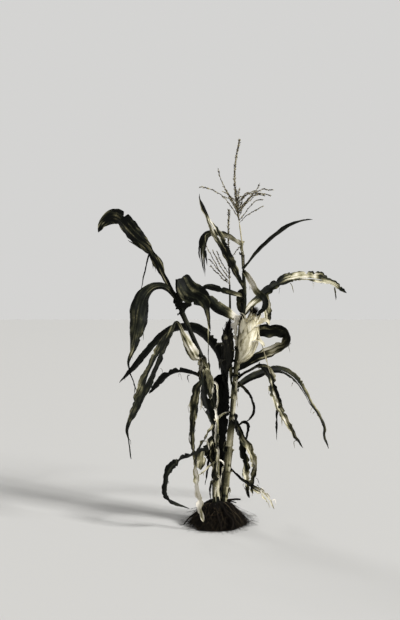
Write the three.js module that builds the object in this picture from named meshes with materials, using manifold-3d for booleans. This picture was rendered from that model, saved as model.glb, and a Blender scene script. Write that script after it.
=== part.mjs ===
// A maize plant dug up with its root ball: three stalks from one root, each with drying
// leaves, two tassels and three ears. Millimetres, +Z up. The origin is the centre of the
// root ball's flat underside, +X is to the right and +Y away from the front.
import * as THREE from "three";
import Module from "manifold-3d";

const wasm = await Module();
wasm.setup();

// Lengths are in millimetres and angles in degrees. A heading of 0 points right along +X,
// 90 away along +Y, 180 left and 270 to the front. A leg is [length, climb, turn]: how far a
// stem or midrib runs, its slope above level, and what it adds to the heading. A climb past
// 90 or under -90 leans back over the start.
const GAP = 0.3;
const SEED = 41;
const STALK = { sides: 8, step: 38, joint_swelling: 1.14 };
const LEAF = {
  step: 27,
  thickness_share: 0.011,
  least_thickness: 2.2,
  thickest_share_of_width: 0.6,
  margin_share: 0.45,
  sunk_share: 0.55,
};
const STRIP = { end_width: 0.45, end_roll: 70, fold: 10 };

const ROOT_BALL = {
  // [height, radius]
  profile: [[0, 98], [9, 103], [26, 92], [46, 80], [64, 68], [80, 58], [92, 42], [97, 0]],
  sides: 26,
  lumps: { height: 0.07, waves: 5, lean: 0.03, wavy: 0.45, rough: 0.7 },
  brace_roots: {
    count: 9, sides: 5, step: 20, radius: 4.2, end_radius: 0.6,
    out: 26, from: 70, rise: 14, length: [95, 118], stops_at: 7,
    shape: [[0.3, 4], [0.3, -34], [0.4, -58]],
  },
};

const STALKS = {
  main_stalk: {
    foot: [20, -2, 62],
    heading: 0,
    legs: [[355, 84.4], [200, 85.8], [245, 83], [60, 88], [85, 94], [90, 93]],
    radii: [14.5, 13.8, 12.8, 11.5, 10.2, 9.4, 8.6, 7.6, 4.2, 3],
    joints: [105, 150, 225, 310, 418, 495, 555, 612, 700, 794, 900, 996],
    colour: 0xa9a07a,
  },
  centre_stalk: {
    foot: [9, 34, 62],
    heading: 0,
    legs: [[250, 88], [250, 86.5], [240, 86.5], [130, 91]],
    radii: [12.5, 11.5, 10, 8.5, 6.5, 4.5, 3],
    joints: [120, 200, 300, 420, 530, 600, 720],
    colour: 0x6f6a4c,
  },
  left_stalk: {
    foot: [-9, -20, 62],
    heading: 180,
    legs: [[110, 91], [180, 89], [110, 86], [100, 81.5], [90, 74], [150, 66], [115, 68]],
    radii: [12, 11.5, 10.5, 10, 9.5, 9, 8, 7],
    joints: [115, 190, 308, 420, 530, 590, 650, 780, 860],
    colour: 0x77714f,
  },
};

// Each leaf springs from a stalk at a height. Its widths and rolls are spread evenly along it:
// at a roll of 0 the blade lies flat across its heading, at 90 it stands on edge. fold is the
// slope of each half blade from the midrib. A split leaf is two solids that meet at the bend.
// Torn strips leave the blade at a share of its length.
const LEAVES = {
  flag_leaf: {
    on: "main_stalk", at: 1080, heading: 160, split: 144,
    legs: [[58, 31], [54, 19], [32, -1], [28, -50], [48, -82], [104, -96]],
    widths: [14, 20, 24, 26, 34, 32, 20, 4], rolls: [25, 35, 50, 60, 70, 60], fold: 24,
    strips: [{ share: 0.66, side: -0.6, width: 9, heading: 165, legs: [[58, -97]] }],
    colour: 0x8f8a68,
  },
  upper_left_leaf: {
    on: "main_stalk", at: 914, heading: 204,
    legs: [[248, 60], [78, 64], [84, 69]],
    widths: [20, 26, 34, 42, 46, 32, 10, 17, 6], rolls: [20, 26, 32, 36, 40, 80, 120], fold: 24,
    colour: 0x3f4430,
  },
  right_blade: {
    on: "main_stalk", at: 992, heading: -25,
    legs: [[82, 49], [84, 43], [72, 35], [56, 24], [50, 10]],
    widths: [14, 24, 28, 30, 28, 22, 5], rolls: [24, 26, 30, 25], fold: 34,
    colour: 0x44482f,
  },
  right_short_leaf: {
    on: "main_stalk", at: 984, heading: -62,
    legs: [[40, -22], [98, -38], [32, -80], [46, -128]],
    widths: [12, 24, 26, 22, 18, 6], rolls: [50, 70, 70, 90], fold: 20,
    colour: 0x77745a,
  },
  right_inner_leaf: {
    on: "main_stalk", at: 976, heading: 48,
    legs: [[34, -46], [50, -54], [26, -42]],
    widths: [12, 22, 24, 18, 6], rolls: [40, 70, 80], fold: 18,
    colour: 0x3f422f,
  },
  right_papery_leaf: {
    on: "main_stalk", at: 818, heading: 30, split: 226,
    legs: [[42, 48], [120, 33], [60, 27], [50, 12], [74, -1], [76, -12], [78, -21], [54, -31]],
    widths: [18, 30, 38, 40, 44, 46, 44, 34, 6], rolls: [60, 50, 40, 35, 45, 55, 60], fold: 20,
    strips: [
      { share: 0.16, side: -0.5, width: 10, heading: 10, legs: [[28, -62], [42, -84]] },
      { share: 0.2, side: -0.5, width: 9, heading: 12, legs: [[66, -80]] },
      { share: 0.88, side: -0.5, width: 7, heading: 10, legs: [[52, -84]] },
    ],
    colour: 0xb0a888,
  },
  folded_leaf: {
    on: "main_stalk", at: 602, heading: -10, split: 250,
    legs: [[54, 36], [115, 26], [40, 30], [30, 54], [26, 112], [32, 165], [46, 181], [40, 184]],
    widths: [20, 34, 42, 46, 50, 52, 54, 44], rolls: [55, 60, 50, 40, 42, 62, 70], fold: 16,
    colour: 0x34382a,
  },
  hanging_right_leaf: {
    on: "main_stalk", at: 564, heading: -28, split: 138,
    legs: [[60, 39], [47, 28], [30, 3], [34, -50], [104, -74], [56, -62], [108, -56], [36, -54]],
    widths: [16, 20, 26, 40, 36, 30, 24, 16, 5], rolls: [30, 35, 50, 60, 50, 70, 50], fold: 22,
    strips: [{ share: 0.62, side: 0.7, width: 8, heading: 190, legs: [[36, -60], [104, -90]] }],
    colour: 0x8d8768,
  },
  right_arch_leaf: {
    on: "main_stalk", at: 534, heading: 25, split: 172,
    legs: [[84, 31], [100, 8], [46, -14], [50, -35], [190, -54], [50, -62], [42, -93], [56, -60]],
    widths: [20, 34, 36, 42, 38, 34, 30, 32, 5], rolls: [45, 40, 55, 45, 35, 60], fold: 22,
    colour: 0x4a4c35,
  },
  thin_broken_leaf: {
    on: "main_stalk", at: 560, heading: -56,
    legs: [[76, -16], [50, -42], [46, -74], [62, -142]],
    widths: [8, 12, 13, 12, 4], rolls: [50, 80, 60], fold: 18,
    colour: 0x57543c,
  },
  left_upper_cross_leaf: {
    on: "main_stalk", at: 884, heading: 186,
    legs: [[98, 19], [52, 11], [24, -50]],
    widths: [14, 22, 24, 22, 10], rolls: [35, 40, 55], fold: 18,
    colour: 0x8b8764,
  },
  left_lower_cross_leaf: {
    on: "main_stalk", at: 790, heading: 203,
    legs: [[44, 30], [86, 33], [44, 46]],
    widths: [24, 40, 44, 38, 22], rolls: [55, 60, 60], fold: 20,
    strips: [{ share: 0.93, side: 0, width: 6, heading: 200, legs: [[90, -88], [100, -91], [72, -97]] }],
    colour: 0x3c402d,
  },
  left_long_leaf: {
    on: "centre_stalk", at: 526, heading: 150, split: 310,
    legs: [
      [105, 84], [42, 66], [54, 49], [50, 35], [48, 16], [46, -1],
      [44, -16], [60, -31], [70, -41], [125, -50], [86, -39],
    ],
    widths: [20, 34, 46, 42, 36, 32, 28, 32, 28, 4], rolls: [50, 55, 50, 40, 35, 40, 30], fold: 20,
    colour: 0x3a3e2b,
  },
  far_left_leaf: {
    on: "left_stalk", at: 880, heading: 150, split: 383,
    legs: [[112, 57], [88, 58], [42, 46], [98, 42], [43, 40], [44, 26], [48, -20], [52, -60]],
    widths: [14, 18, 22, 46, 28, 58, 90, 98, 80, 48, 8], rolls: [40, 60, 70, 75, 70, 50], fold: 12,
    strips: [
      { share: 0.4, side: -0.4, width: 6, heading: 175, legs: [[50, -74], [112, -77]] },
      { share: 0.41, side: -0.7, width: 10, heading: 152, legs: [[100, 27]] },
    ],
    colour: 0x3b3f2d,
  },
  left_drooping_leaf: {
    on: "left_stalk", at: 866, heading: 206, split: 122,
    legs: [
      [34, 62], [32, 48], [35, 20], [38, -16], [44, -48],
      [52, -71], [114, -81], [86, -71], [50, -99], [74, -116],
    ],
    widths: [16, 22, 36, 60, 76, 68, 44, 18, 6, 5, 4], rolls: [40, 60, 90, 110, 105, 80, 60], fold: 16,
    colour: 0x3d4130,
  },
  creased_leaf: {
    on: "left_stalk", at: 842, heading: -42, split: 123,
    legs: [[116, 94], [16, 20], [138, -38], [36, -66], [84, -85]],
    widths: [26, 60, 88, 104, 98, 66, 36, 14, 5], rolls: [10, 0, 20, 30, 40], fold: 10,
    colour: 0x33372a,
  },
  broken_leaf: {
    on: "left_stalk", at: 650, heading: 202, split: 173,
    legs: [[46, 45], [52, 57], [69, 63], [12, 0], [213, -63], [208, -64], [26, -72], [108, -99]],
    widths: [
      40, 38, 35, 33, 30, 24, 38, 46, 50, 47, 44,
      41, 38, 34, 30, 25, 20, 13, 6, 5, 4,
    ],
    rolls: [60, 60, 60, 70, 60, 60], fold: 20,
    strips: [
      {
        share: 0.27, side: 0.6, width: 28, heading: 202,
        legs: [[76, -104], [60, -76], [66, -48], [30, -66]],
      },
    ],
    colour: 0x474934,
  },
  left_low_leaf: {
    on: "left_stalk", at: 542, heading: 150,
    legs: [[52, 42], [38, 20], [58, 4], [44, -20], [52, -37], [78, -43]],
    widths: [16, 20, 22, 26, 24, 8], rolls: [50, 50, 40, 50], fold: 24,
    colour: 0x34372a,
  },
  hanging_left_leaf: {
    on: "left_stalk", at: 586, heading: 222,
    legs: [[48, -42], [44, -74, -30], [168, -85, -40], [152, -97, -40]],
    widths: [14, 34, 40, 28, 17, 15, 12, 5], rolls: [60, 80, 70, 90, 60], fold: 20,
    strips: [{ share: 0.46, side: -0.4, width: 7, heading: 185, legs: [[52, -66], [26, -88], [50, -116]] }],
    colour: 0x6b674e,
  },
  left_loop_leaf: {
    on: "left_stalk", at: 305, heading: 212, split: 220,
    legs: [[48, -4], [112, -11], [42, -30], [36, -54], [82, -90], [32, -144], [92, -151]],
    widths: [14, 16, 18, 18, 36, 14, 16, 14, 14, 5], rolls: [30, 50, 60, 80, 60, 40], fold: 26,
    colour: 0x3c3b2b,
  },
  pale_fallen_strip: {
    on: "main_stalk", at: 440, heading: 190, split: 235,
    legs: [[40, -12], [190, -38, 44], [40, -74, 46], [90, -99, 46], [150, -103, 46]],
    widths: [6, 12, 18, 14, 16, 14, 16, 6], rolls: [0, 60, 120, 60, 100], fold: 26,
    colour: 0xcfc8a8,
  },
  pale_kinked_strip: {
    on: "main_stalk", at: 226, heading: 212,
    legs: [[40, 56], [30, -24], [84, -27]],
    widths: [6, 9, 10, 8, 4], rolls: [40, 90, 60], fold: 20,
    colour: 0xc6bf9f,
  },
  lower_right_leaf: {
    on: "main_stalk", at: 420, heading: -32,
    legs: [[54, -60], [51, -59], [45, -54], [52, -70], [80, -100], [30, -79]],
    widths: [14, 22, 24, 26, 22, 18, 6], rolls: [20, 100, 40, 120, 60], fold: 28,
    strips: [{ share: 0.12, side: 0, width: 9, heading: -28, legs: [[46, 42], [70, -104]] }],
    colour: 0x8a8468,
  },
  lower_right_inner_leaf: {
    on: "main_stalk", at: 384, heading: 40,
    legs: [[34, -30], [50, -70], [56, -73], [104, -82], [42, -97], [34, -62]],
    widths: [12, 18, 22, 20, 16, 5], rolls: [30, 90, 30, 110], fold: 28,
    colour: 0x4b4935,
  },
  lower_right_straggler: {
    on: "main_stalk", at: 226, heading: 20,
    legs: [[60, -48], [54, -36], [48, -27], [48, -44], [60, -62]],
    widths: [8, 8, 12, 18, 20, 14, 5], rolls: [30, 60, 120, 60, 130], fold: 24,
    colour: 0x9a9376,
  },
  centre_hanging_leaf: {
    on: "centre_stalk", at: 556, heading: 250,
    legs: [[6, 0], [13, -60], [152, -88], [132, -91]],
    widths: [36, 60, 66, 64, 58, 50, 34], rolls: [0, 0, 6, 0], fold: 10,
    colour: 0x25271d,
  },
  inner_left_leaf: {
    on: "left_stalk", at: 616, heading: -106,
    legs: [[34, -24], [78, -84, 12], [124, -76, 52]],
    widths: [16, 30, 38, 34, 14], rolls: [10, 30, 75], fold: 16,
    colour: 0x2f3023,
  },
  inner_flap: {
    on: "main_stalk", at: 905, heading: 140,
    legs: [[14, -10], [74, -88]],
    widths: [14, 30, 32, 26, 12], rolls: [45, 45], fold: 14,
    colour: 0x3a3b2b,
  },
};

// Each ear stands on a short shank and is a spindle of husks, with loose husk tips and silk.
const EARS = {
  main_ear: {
    on: "main_stalk", at: 630, heading: -62,
    legs: [[54, 34], [52, 76, 50], [70, 80, 62], [50, 84, 62]],
    radii: [7, 9, 23, 33, 36, 34, 29, 21, 10], squash: 0.78, sides: 10,
    husks: [
      { share: 0.74, heading: 8, width: 26, legs: [[58, 70]] },
      { share: 0.7, heading: 190, width: 24, legs: [[54, 80]] },
      { share: 0.46, heading: -40, width: 30, legs: [[30, 40], [36, -40]] },
      { share: 0.78, heading: -30, width: 12, legs: [[60, -70], [130, -70]] },
    ],
    silk: 7, colour: 0xd8d1b3,
  },
  centre_ear: {
    on: "centre_stalk", at: 578, heading: -96,
    legs: [[34, 40], [60, 84, 40], [114, 90, 60]],
    radii: [6, 8, 18, 23, 24, 22, 17, 10], squash: 0.85, sides: 9,
    husks: [
      { share: 0.78, heading: 150, width: 18, legs: [[40, 74]] },
      { share: 0.8, heading: 20, width: 18, legs: [[36, 80]] },
    ],
    silk: 5, colour: 0x34342a,
  },
  left_ear: {
    on: "left_stalk", at: 500, heading: -60,
    legs: [[18, 40], [56, 86, -98], [88, 75, -112]],
    radii: [5, 6, 11, 14, 14, 12, 9, 4], squash: 0.9, sides: 8,
    husks: [{ share: 0.82, heading: 180, width: 12, legs: [[34, 70]] }],
    silk: 0, colour: 0x8c886e,
  },
};

// A tassel is a spike on a bare stem with side branches, each beaded thick with spikelets.
const TASSELS = {
  main_tassel: {
    on: "main_stalk", heading: 0, stem_radius: 2.6, spike_radius: 3.1, tip_radius: 1.6,
    legs: [[72, 97.5], [100, 98.5], [82, 94], [72, 85], [66, 78]], bare: 70,
    // [distance up the stem, heading, legs]
    branches: [
      [94, 168, [[64, 60], [62, 43], [44, 22], [34, 6]]],
      [112, 196, [[54, 62], [46, 60], [60, 66], [30, 76]]],
      [124, 140, [[50, 56], [64, 52]]],
      [138, 220, [[34, 52], [46, 14]]],
      [98, 16, [[54, 66], [44, 50], [44, 34], [50, -4]]],
      [110, -28, [[50, 58], [44, 46], [54, 4], [26, -14]]],
      [76, -12, [[46, 46], [66, 30]]],
      [130, 34, [[48, 66], [34, 22], [60, 4]]],
      [122, -14, [[74, 50], [36, 40], [28, 66]]],
      [118, 84, [[60, 62], [56, 40]]],
      [132, 266, [[52, 58], [52, 34]]],
      [150, 125, [[30, 50], [26, 10]]],
      [158, 300, [[28, 48], [24, 0]]],
      [104, 66, [[56, 60], [48, 44], [40, 10]]],
      [106, 236, [[56, 58], [48, 42], [36, 16]]],
      [84, -24, [[60, 54], [44, 44], [22, 0]]],
      [112, 8, [[64, 50], [36, 40], [36, -6]]],
      [146, -8, [[40, 54], [40, 30], [30, -2]]],
    ],
    colour: 0x6d6a52,
  },
  centre_tassel: {
    on: "centre_stalk", heading: 0, stem_radius: 2.4, spike_radius: 2.5, tip_radius: 1.5,
    legs: [[84, 92], [110, 92], [94, 88]], bare: 10,
    branches: [
      [4, 186, [[70, 52], [104, 62]]],
      [20, 192, [[60, 56], [76, 64]]],
      [10, 200, [[66, 44], [56, 50]]],
      [38, 152, [[52, 54], [50, 62]]],
      [-2, 170, [[50, 42], [56, 46]]],
      [86, 14, [[36, 60], [34, 54]]],
      [60, 100, [[50, 58], [46, 50]]],
    ],
    colour: 0x77735a,
  },
};
const TWIG = { sides: 4, step: 24, radius: 2.5, end_radius: 0.6 };
const HUSK = { steps: 12, blade_step: 14, thickness: 2.6, fold: 14, end_width: 0.2, sunk_share: 0.7 };
const SILK = { sides: 4, step: 12, length: 34, radius: 1.6, root_radius: 2.6, sunk: 6 };

// A small repeatable source of random numbers from 0 to 1.
function randomSource(seed) {
  let state = seed;
  return () => {
    state = (state * 1664525 + 1013904223) % 4294967296;
    return state / 4294967296;
  };
}

const radians = (degrees) => (degrees * Math.PI) / 180;
const mix = (a, b, share) => a + (b - a) * share;

// The value at a share of the way along a list of evenly spread values.
function spread(values, share) {
  const place = Math.min(Math.max(share, 0), 1) * (values.length - 1);
  const index = Math.min(Math.floor(place), values.length - 2);
  return mix(values[index], values[index + 1], place - index);
}

const lengthOf = (legs) => legs.reduce((sum, leg) => sum + leg[0], 0);

// A leg's climb or turn at a distance along the legs, eased from each leg into the next.
function easedAlong(legs, field, distance) {
  let from = 0;
  for (let i = 0; i + 1 < legs.length; i++) {
    const joint = from + legs[i][0];
    const reach = Math.min(legs[i][0], legs[i + 1][0]) / 2;
    const here = legs[i][field] ?? 0;
    if (distance < joint - reach) return here;
    if (distance < joint + reach) {
      return mix(here, legs[i + 1][field] ?? 0, (distance - joint + reach) / (2 * reach));
    }
    from = joint;
  }
  return legs[legs.length - 1][field] ?? 0;
}

// Frames along a spine from one distance to another: the place, the way on, the level
// sideways and the upper side.
function spine(start, heading, legs, from, to, step) {
  const count = Math.max(2, Math.round((to - from) / step));
  const longestStride = 1;
  const place = start.clone();
  const frames = [];
  let distance = 0;
  const aim = (at) => {
    const climb = radians(easedAlong(legs, 1, at));
    const turned = radians(heading + easedAlong(legs, 2, at));
    const ahead = new THREE.Vector3(Math.cos(turned), Math.sin(turned), 0);
    const side = new THREE.Vector3(-Math.sin(turned), Math.cos(turned), 0);
    const along = ahead.clone().multiplyScalar(Math.cos(climb));
    along.z = Math.sin(climb);
    const upper = ahead.multiplyScalar(-Math.sin(climb));
    upper.z = Math.cos(climb);
    return { along, side, upper };
  };
  for (let i = 0; i <= count; i++) {
    const target = mix(from, to, i / count);
    while (distance < target) {
      const stride = Math.min(longestStride, target - distance);
      place.addScaledVector(aim(distance + stride / 2).along, stride);
      distance += stride;
    }
    frames.push({ place: place.clone(), distance, ...aim(distance) });
  }
  return frames;
}

// Joins closed rings of points into one closed solid. The caps list the ring's triangles.
function loft(rings, cap) {
  const size = rings[0].length;
  const triangles = [];
  for (let i = 0; i + 1 < rings.length; i++) {
    for (let j = 0; j < size; j++) {
      const a = i * size + j;
      const b = i * size + ((j + 1) % size);
      triangles.push([a, b, a + size], [b, b + size, a + size]);
    }
  }
  const last = (rings.length - 1) * size;
  for (const [a, b, c] of cap) {
    triangles.push([a, c, b], [last + a, last + b, last + c]);
  }
  return solidFrom(rings.flat(), triangles);
}

// A fan of triangles that closes a round ring.
const fan = (size) => Array.from({ length: size - 2 }, (_, i) => [0, i + 1, i + 2]);
// The triangles that close the six-cornered ring of a blade.
const BLADE_CAP = [[0, 1, 4], [0, 4, 5], [1, 2, 3], [1, 3, 4]];

// A solid from points and triangles, turned to face outward.
function solidFrom(points, triangles) {
  const volume = triangles.reduce((sum, [a, b, c]) => {
    return sum + points[a].dot(points[b].clone().cross(points[c]));
  }, 0);
  const facing = volume > 0 ? triangles : triangles.map(([a, b, c]) => [a, c, b]);
  return new wasm.Manifold(new wasm.Mesh({
    numProp: 3,
    vertProperties: new Float32Array(points.flatMap((point) => point.toArray())),
    triVerts: new Uint32Array(facing.flat()),
  }));
}

// The largest piece of a solid: loose scraps that a cut leaves are dropped.
function largest(solid) {
  return solid.decompose().reduce((best, one) => (one.volume() > best.volume() ? one : best));
}

// A round tube along frames, its radius given at each frame.
function tube(frames, radiusAt, sides, squash = 1) {
  const rings = frames.map((frame) => {
    const radius = radiusAt(frame);
    return Array.from({ length: sides }, (_, j) => {
      const angle = (2 * Math.PI * (j + 0.5)) / sides;
      return frame.place.clone()
        .addScaledVector(frame.side, Math.cos(angle) * radius * squash)
        .addScaledVector(frame.upper, Math.sin(angle) * radius);
    });
  });
  return loft(rings, fan(sides));
}

// A blade along frames: two sloping halves on a thicker midrib.
function blade(frames, length, widthAt, rollAt, fold, thickness) {
  const rings = frames.map((frame) => {
    const share = frame.distance / length;
    const half = widthAt(share) / 2;
    const roll = radians(rollAt(share));
    const across = frame.side.clone().multiplyScalar(Math.cos(roll))
      .addScaledVector(frame.upper, Math.sin(roll));
    const face = frame.upper.clone().multiplyScalar(Math.cos(roll))
      .addScaledVector(frame.side, -Math.sin(roll));
    const rise = half * Math.sin(radians(fold));
    const reach = half * Math.cos(radians(fold));
    const thick = Math.min(thickness, widthAt(share) * LEAF.thickest_share_of_width) / 2;
    const thin = thick * LEAF.margin_share;
    const corner = (out, up) => frame.place.clone()
      .addScaledVector(across, out).addScaledVector(face, up);
    return [
      corner(-reach, rise + thin), corner(0, thick), corner(reach, rise + thin),
      corner(reach, rise - thin), corner(0, -thick), corner(-reach, rise - thin),
    ];
  });
  return loft(rings, BLADE_CAP);
}

// Stalks: tapering tubes that swell at each joint.
function stalkFrames(stalk) {
  const length = lengthOf(stalk.legs);
  const start = new THREE.Vector3(...stalk.foot);
  return spine(start, stalk.heading, stalk.legs, 0, length, STALK.step);
}

function stalkRadius(stalk, frame) {
  const radius = spread(stalk.radii, frame.distance / lengthOf(stalk.legs));
  const near = stalk.joints.some((height) => Math.abs(frame.place.z - height) < STALK.step / 2);
  return near ? radius * STALK.joint_swelling : radius;
}

function stalkSolid(stalk, grow = 0) {
  const reach = (frame) => (stalkRadius(stalk, frame) + grow) / Math.cos(Math.PI / STALK.sides);
  const frames = stalkFrames(stalk);
  if (grow > 0) {
    frames[0].place.addScaledVector(frames[0].along, -grow);
    frames[frames.length - 1].place.addScaledVector(frames[frames.length - 1].along, grow);
  }
  return tube(frames, reach, STALK.sides);
}

// Where a leaf or ear springs from its stalk at a height: part way out from the centre line.
function springPoint(stalk, height, heading) {
  const frames = stalkFrames(stalk);
  const next = frames.findIndex((frame) => frame.place.z > height);
  const after = next < 1 ? frames.length - 1 : next;
  const before = frames[after - 1];
  const share = (height - before.place.z) / (frames[after].place.z - before.place.z);
  const place = before.place.clone().lerp(frames[after].place, share);
  const out = stalkRadius(stalk, before) * LEAF.sunk_share;
  place.x += Math.cos(radians(heading)) * out;
  place.y += Math.sin(radians(heading)) * out;
  return place;
}

const grownStalks = Object.values(STALKS).map((stalk) => stalkSolid(stalk, GAP));
const clearOfStalks = (solid) => grownStalks.reduce((left, stalk) => left.subtract(stalk), solid);

// A leaf's stretch from one distance to another, with the torn strips that leave it there.
function leafSolid(leaf, from, to) {
  const length = lengthOf(leaf.legs);
  const start = springPoint(STALKS[leaf.on], leaf.at, leaf.heading);
  const thickness = Math.max(LEAF.least_thickness, LEAF.thickness_share * (to - from));
  const widthAt = (share) => spread(leaf.widths, share);
  const rollAt = (share) => spread(leaf.rolls, share);
  const frames = spine(start, leaf.heading, leaf.legs, from, to, LEAF.step);
  let solid = blade(frames, length, widthAt, rollAt, leaf.fold, thickness);
  for (const strip of leaf.strips ?? []) {
    const place = strip.share * length;
    if (place <= from || place >= to) continue;
    const roots = spine(start, leaf.heading, leaf.legs, place, place + 1, 1);
    const roll = radians(rollAt(strip.share));
    const out = (strip.side * widthAt(strip.share)) / 2;
    const root = roots[0].place.clone()
      .addScaledVector(roots[0].side, Math.cos(roll) * out)
      .addScaledVector(roots[0].upper, Math.sin(roll) * out);
    const run = lengthOf(strip.legs);
    const narrowing = (share) => strip.width * mix(1, STRIP.end_width, share);
    const twist = (share) => mix(rollAt(strip.share), STRIP.end_roll, share);
    const torn = spine(root, strip.heading, strip.legs, 0, run, LEAF.step);
    solid = solid.add(blade(torn, run, narrowing, twist, STRIP.fold, LEAF.least_thickness));
  }
  return largest(clearOfStalks(solid));
}

// Ears: a shank, a spindle of husks, loose husk tips and a tuft of silk.
function earSolid(ear, random) {
  const length = lengthOf(ear.legs);
  const start = springPoint(STALKS[ear.on], ear.at, ear.heading);
  const frames = spine(start, ear.heading, ear.legs, 0, length, length / HUSK.steps);
  let solid = tube(frames, (f) => spread(ear.radii, f.distance / length), ear.sides, ear.squash);
  for (const husk of ear.husks) {
    const at = frames[Math.round(husk.share * (frames.length - 1))];
    const radius = spread(ear.radii, husk.share) * HUSK.sunk_share;
    const root = at.place.clone();
    root.x += Math.cos(radians(husk.heading)) * radius;
    root.y += Math.sin(radians(husk.heading)) * radius * ear.squash;
    const run = lengthOf(husk.legs);
    const widthAt = (share) => husk.width * mix(1, HUSK.end_width, share * share);
    const loose = spine(root, husk.heading, husk.legs, 0, run, HUSK.blade_step);
    solid = solid.add(blade(loose, run, widthAt, () => 0, HUSK.fold, HUSK.thickness));
  }
  const tip = frames[frames.length - 1].place;
  for (let i = 0; i < ear.silk; i++) {
    const heading = (360 * i) / ear.silk + 40 * random();
    const legs = [[SILK.length * 0.4, 66 + 20 * random()], [SILK.length * 0.6, 30 * random()]];
    const root = tip.clone();
    root.z -= SILK.sunk;
    const thread = spine(root, heading, legs, 0, SILK.length, SILK.step);
    const radiusAt = (frame) => mix(SILK.root_radius, SILK.radius, frame.distance / SILK.length);
    solid = solid.add(tube(thread, radiusAt, SILK.sides));
  }
  return largest(clearOfStalks(solid));
}

// Tassels: a stem that runs on into the spike, and branches sunk into it.
function tasselSolid(tassel) {
  const stalk = STALKS[tassel.on];
  const frames = stalkFrames(stalk);
  const top = frames[frames.length - 1];
  const start = top.place.clone().addScaledVector(top.along, GAP);
  const length = lengthOf(tassel.legs);
  const stem = spine(start, tassel.heading, tassel.legs, 0, length, TWIG.step);
  const radiusAt = (frame) => {
    if (frame.distance < tassel.bare) return tassel.stem_radius;
    const share = (frame.distance - tassel.bare) / (length - tassel.bare);
    return mix(tassel.spike_radius, tassel.tip_radius, share ** 2);
  };
  let solid = tube(stem, radiusAt, TWIG.sides + 1);
  for (const [up, heading, legs] of tassel.branches) {
    const root = spine(start, tassel.heading, tassel.legs, up, up + 1, 1)[0].place;
    const run = lengthOf(legs);
    const twig = spine(root, heading, legs, 0, run, TWIG.step);
    const twigRadius = (frame) => TWIG.radius * mix(1, TWIG.end_radius, frame.distance / run);
    solid = solid.add(tube(twig, twigRadius, TWIG.sides));
  }
  return largest(clearOfStalks(solid));
}

// The root ball: a lumpy mound with a flat underside, sockets for the stalks and brace
// roots that run down its flanks.
function moundSolid(random) {
  const { profile, sides, lumps } = ROOT_BALL;
  const waves = Array.from({ length: lumps.waves }, (_, i) => {
    return { count: i + 2, phase: 2 * Math.PI * random(), size: 0.5 + random() };
  });
  const lumpAt = (angle, height) => waves.reduce((sum, wave) => {
    return sum + wave.size * Math.sin(wave.count * (angle + height * lumps.lean) + wave.phase);
  }, 0);
  const points = [];
  profile.slice(0, -1).forEach(([height, radius]) => {
    for (let j = 0; j < sides; j++) {
      const angle = (2 * Math.PI * j) / sides;
      const lump = lumps.wavy * lumpAt(angle, height) + lumps.rough * (random() - 0.5);
      const out = radius * (1 + lumps.height * lump);
      points.push(new THREE.Vector3(Math.cos(angle) * out, Math.sin(angle) * out, height));
    }
  });
  const rows = profile.length - 1;
  const under = points.push(new THREE.Vector3(0, 0, 0)) - 1;
  const top = points.push(new THREE.Vector3(0, 0, profile[rows][0])) - 1;
  const triangles = [];
  for (let j = 0; j < sides; j++) {
    const next = (j + 1) % sides;
    for (let i = 0; i + 1 < rows; i++) {
      const a = i * sides + j;
      const b = i * sides + next;
      triangles.push([a, b, a + sides], [b, b + sides, a + sides]);
    }
    triangles.push([under, next, j]);
    triangles.push([top, (rows - 1) * sides + j, (rows - 1) * sides + next]);
  }
  return solidFrom(points, triangles);
}

function rootBallSolid(random) {
  const brace = ROOT_BALL.brace_roots;
  let solid = moundSolid(random);
  for (let i = 0; i < brace.count; i++) {
    const heading = (360 * (i + 0.6 * random())) / brace.count;
    const root = new THREE.Vector3(
      Math.cos(radians(heading)) * brace.out,
      Math.sin(radians(heading)) * brace.out,
      brace.from + brace.rise * random(),
    );
    const run = mix(brace.length[0], brace.length[1], random());
    const legs = brace.shape.map(([share, climb]) => [run * share, climb]);
    const frames = spine(root, heading, legs, 0, run, brace.step)
      .filter((frame) => frame.place.z > brace.stops_at);
    const radiusAt = (frame) => brace.radius * mix(1, brace.end_radius, frame.distance / run);
    solid = solid.add(tube(frames, radiusAt, brace.sides));
  }
  return largest(clearOfStalks(solid));
}

// Each solid becomes one named mesh.
const plant = new THREE.Group();

function addMesh(name, solid, colour, roughness) {
  const { vertProperties, triVerts } = solid.getMesh();
  const geometry = new THREE.BufferGeometry();
  geometry.setAttribute("position", new THREE.BufferAttribute(new Float32Array(vertProperties), 3));
  geometry.setIndex(new THREE.BufferAttribute(new Uint32Array(triVerts), 1));
  geometry.computeVertexNormals();
  const material = new THREE.MeshStandardMaterial({ color: colour, roughness, metalness: 0 });
  const mesh = new THREE.Mesh(geometry, material);
  mesh.name = name;
  plant.add(mesh);
}

const random = randomSource(SEED);
addMesh("root_ball", rootBallSolid(random), 0x2b241b, 0.95);
for (const [name, stalk] of Object.entries(STALKS)) {
  addMesh(name, stalkSolid(stalk), stalk.colour, 0.6);
}
for (const [name, leaf] of Object.entries(LEAVES)) {
  const length = lengthOf(leaf.legs);
  if (leaf.split) {
    addMesh(`${name}_rise`, leafSolid(leaf, 0, leaf.split - GAP / 2), leaf.colour, 0.7);
    addMesh(`${name}_fall`, leafSolid(leaf, leaf.split + GAP / 2, length), leaf.colour, 0.7);
  } else {
    addMesh(name, leafSolid(leaf, 0, length), leaf.colour, 0.7);
  }
}
for (const [name, ear] of Object.entries(EARS)) {
  addMesh(name, earSolid(ear, random), ear.colour, 0.75);
}
for (const [name, tassel] of Object.entries(TASSELS)) {
  addMesh(name, tasselSolid(tassel), tassel.colour, 0.85);
}

export default plant;
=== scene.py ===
import math

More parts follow.
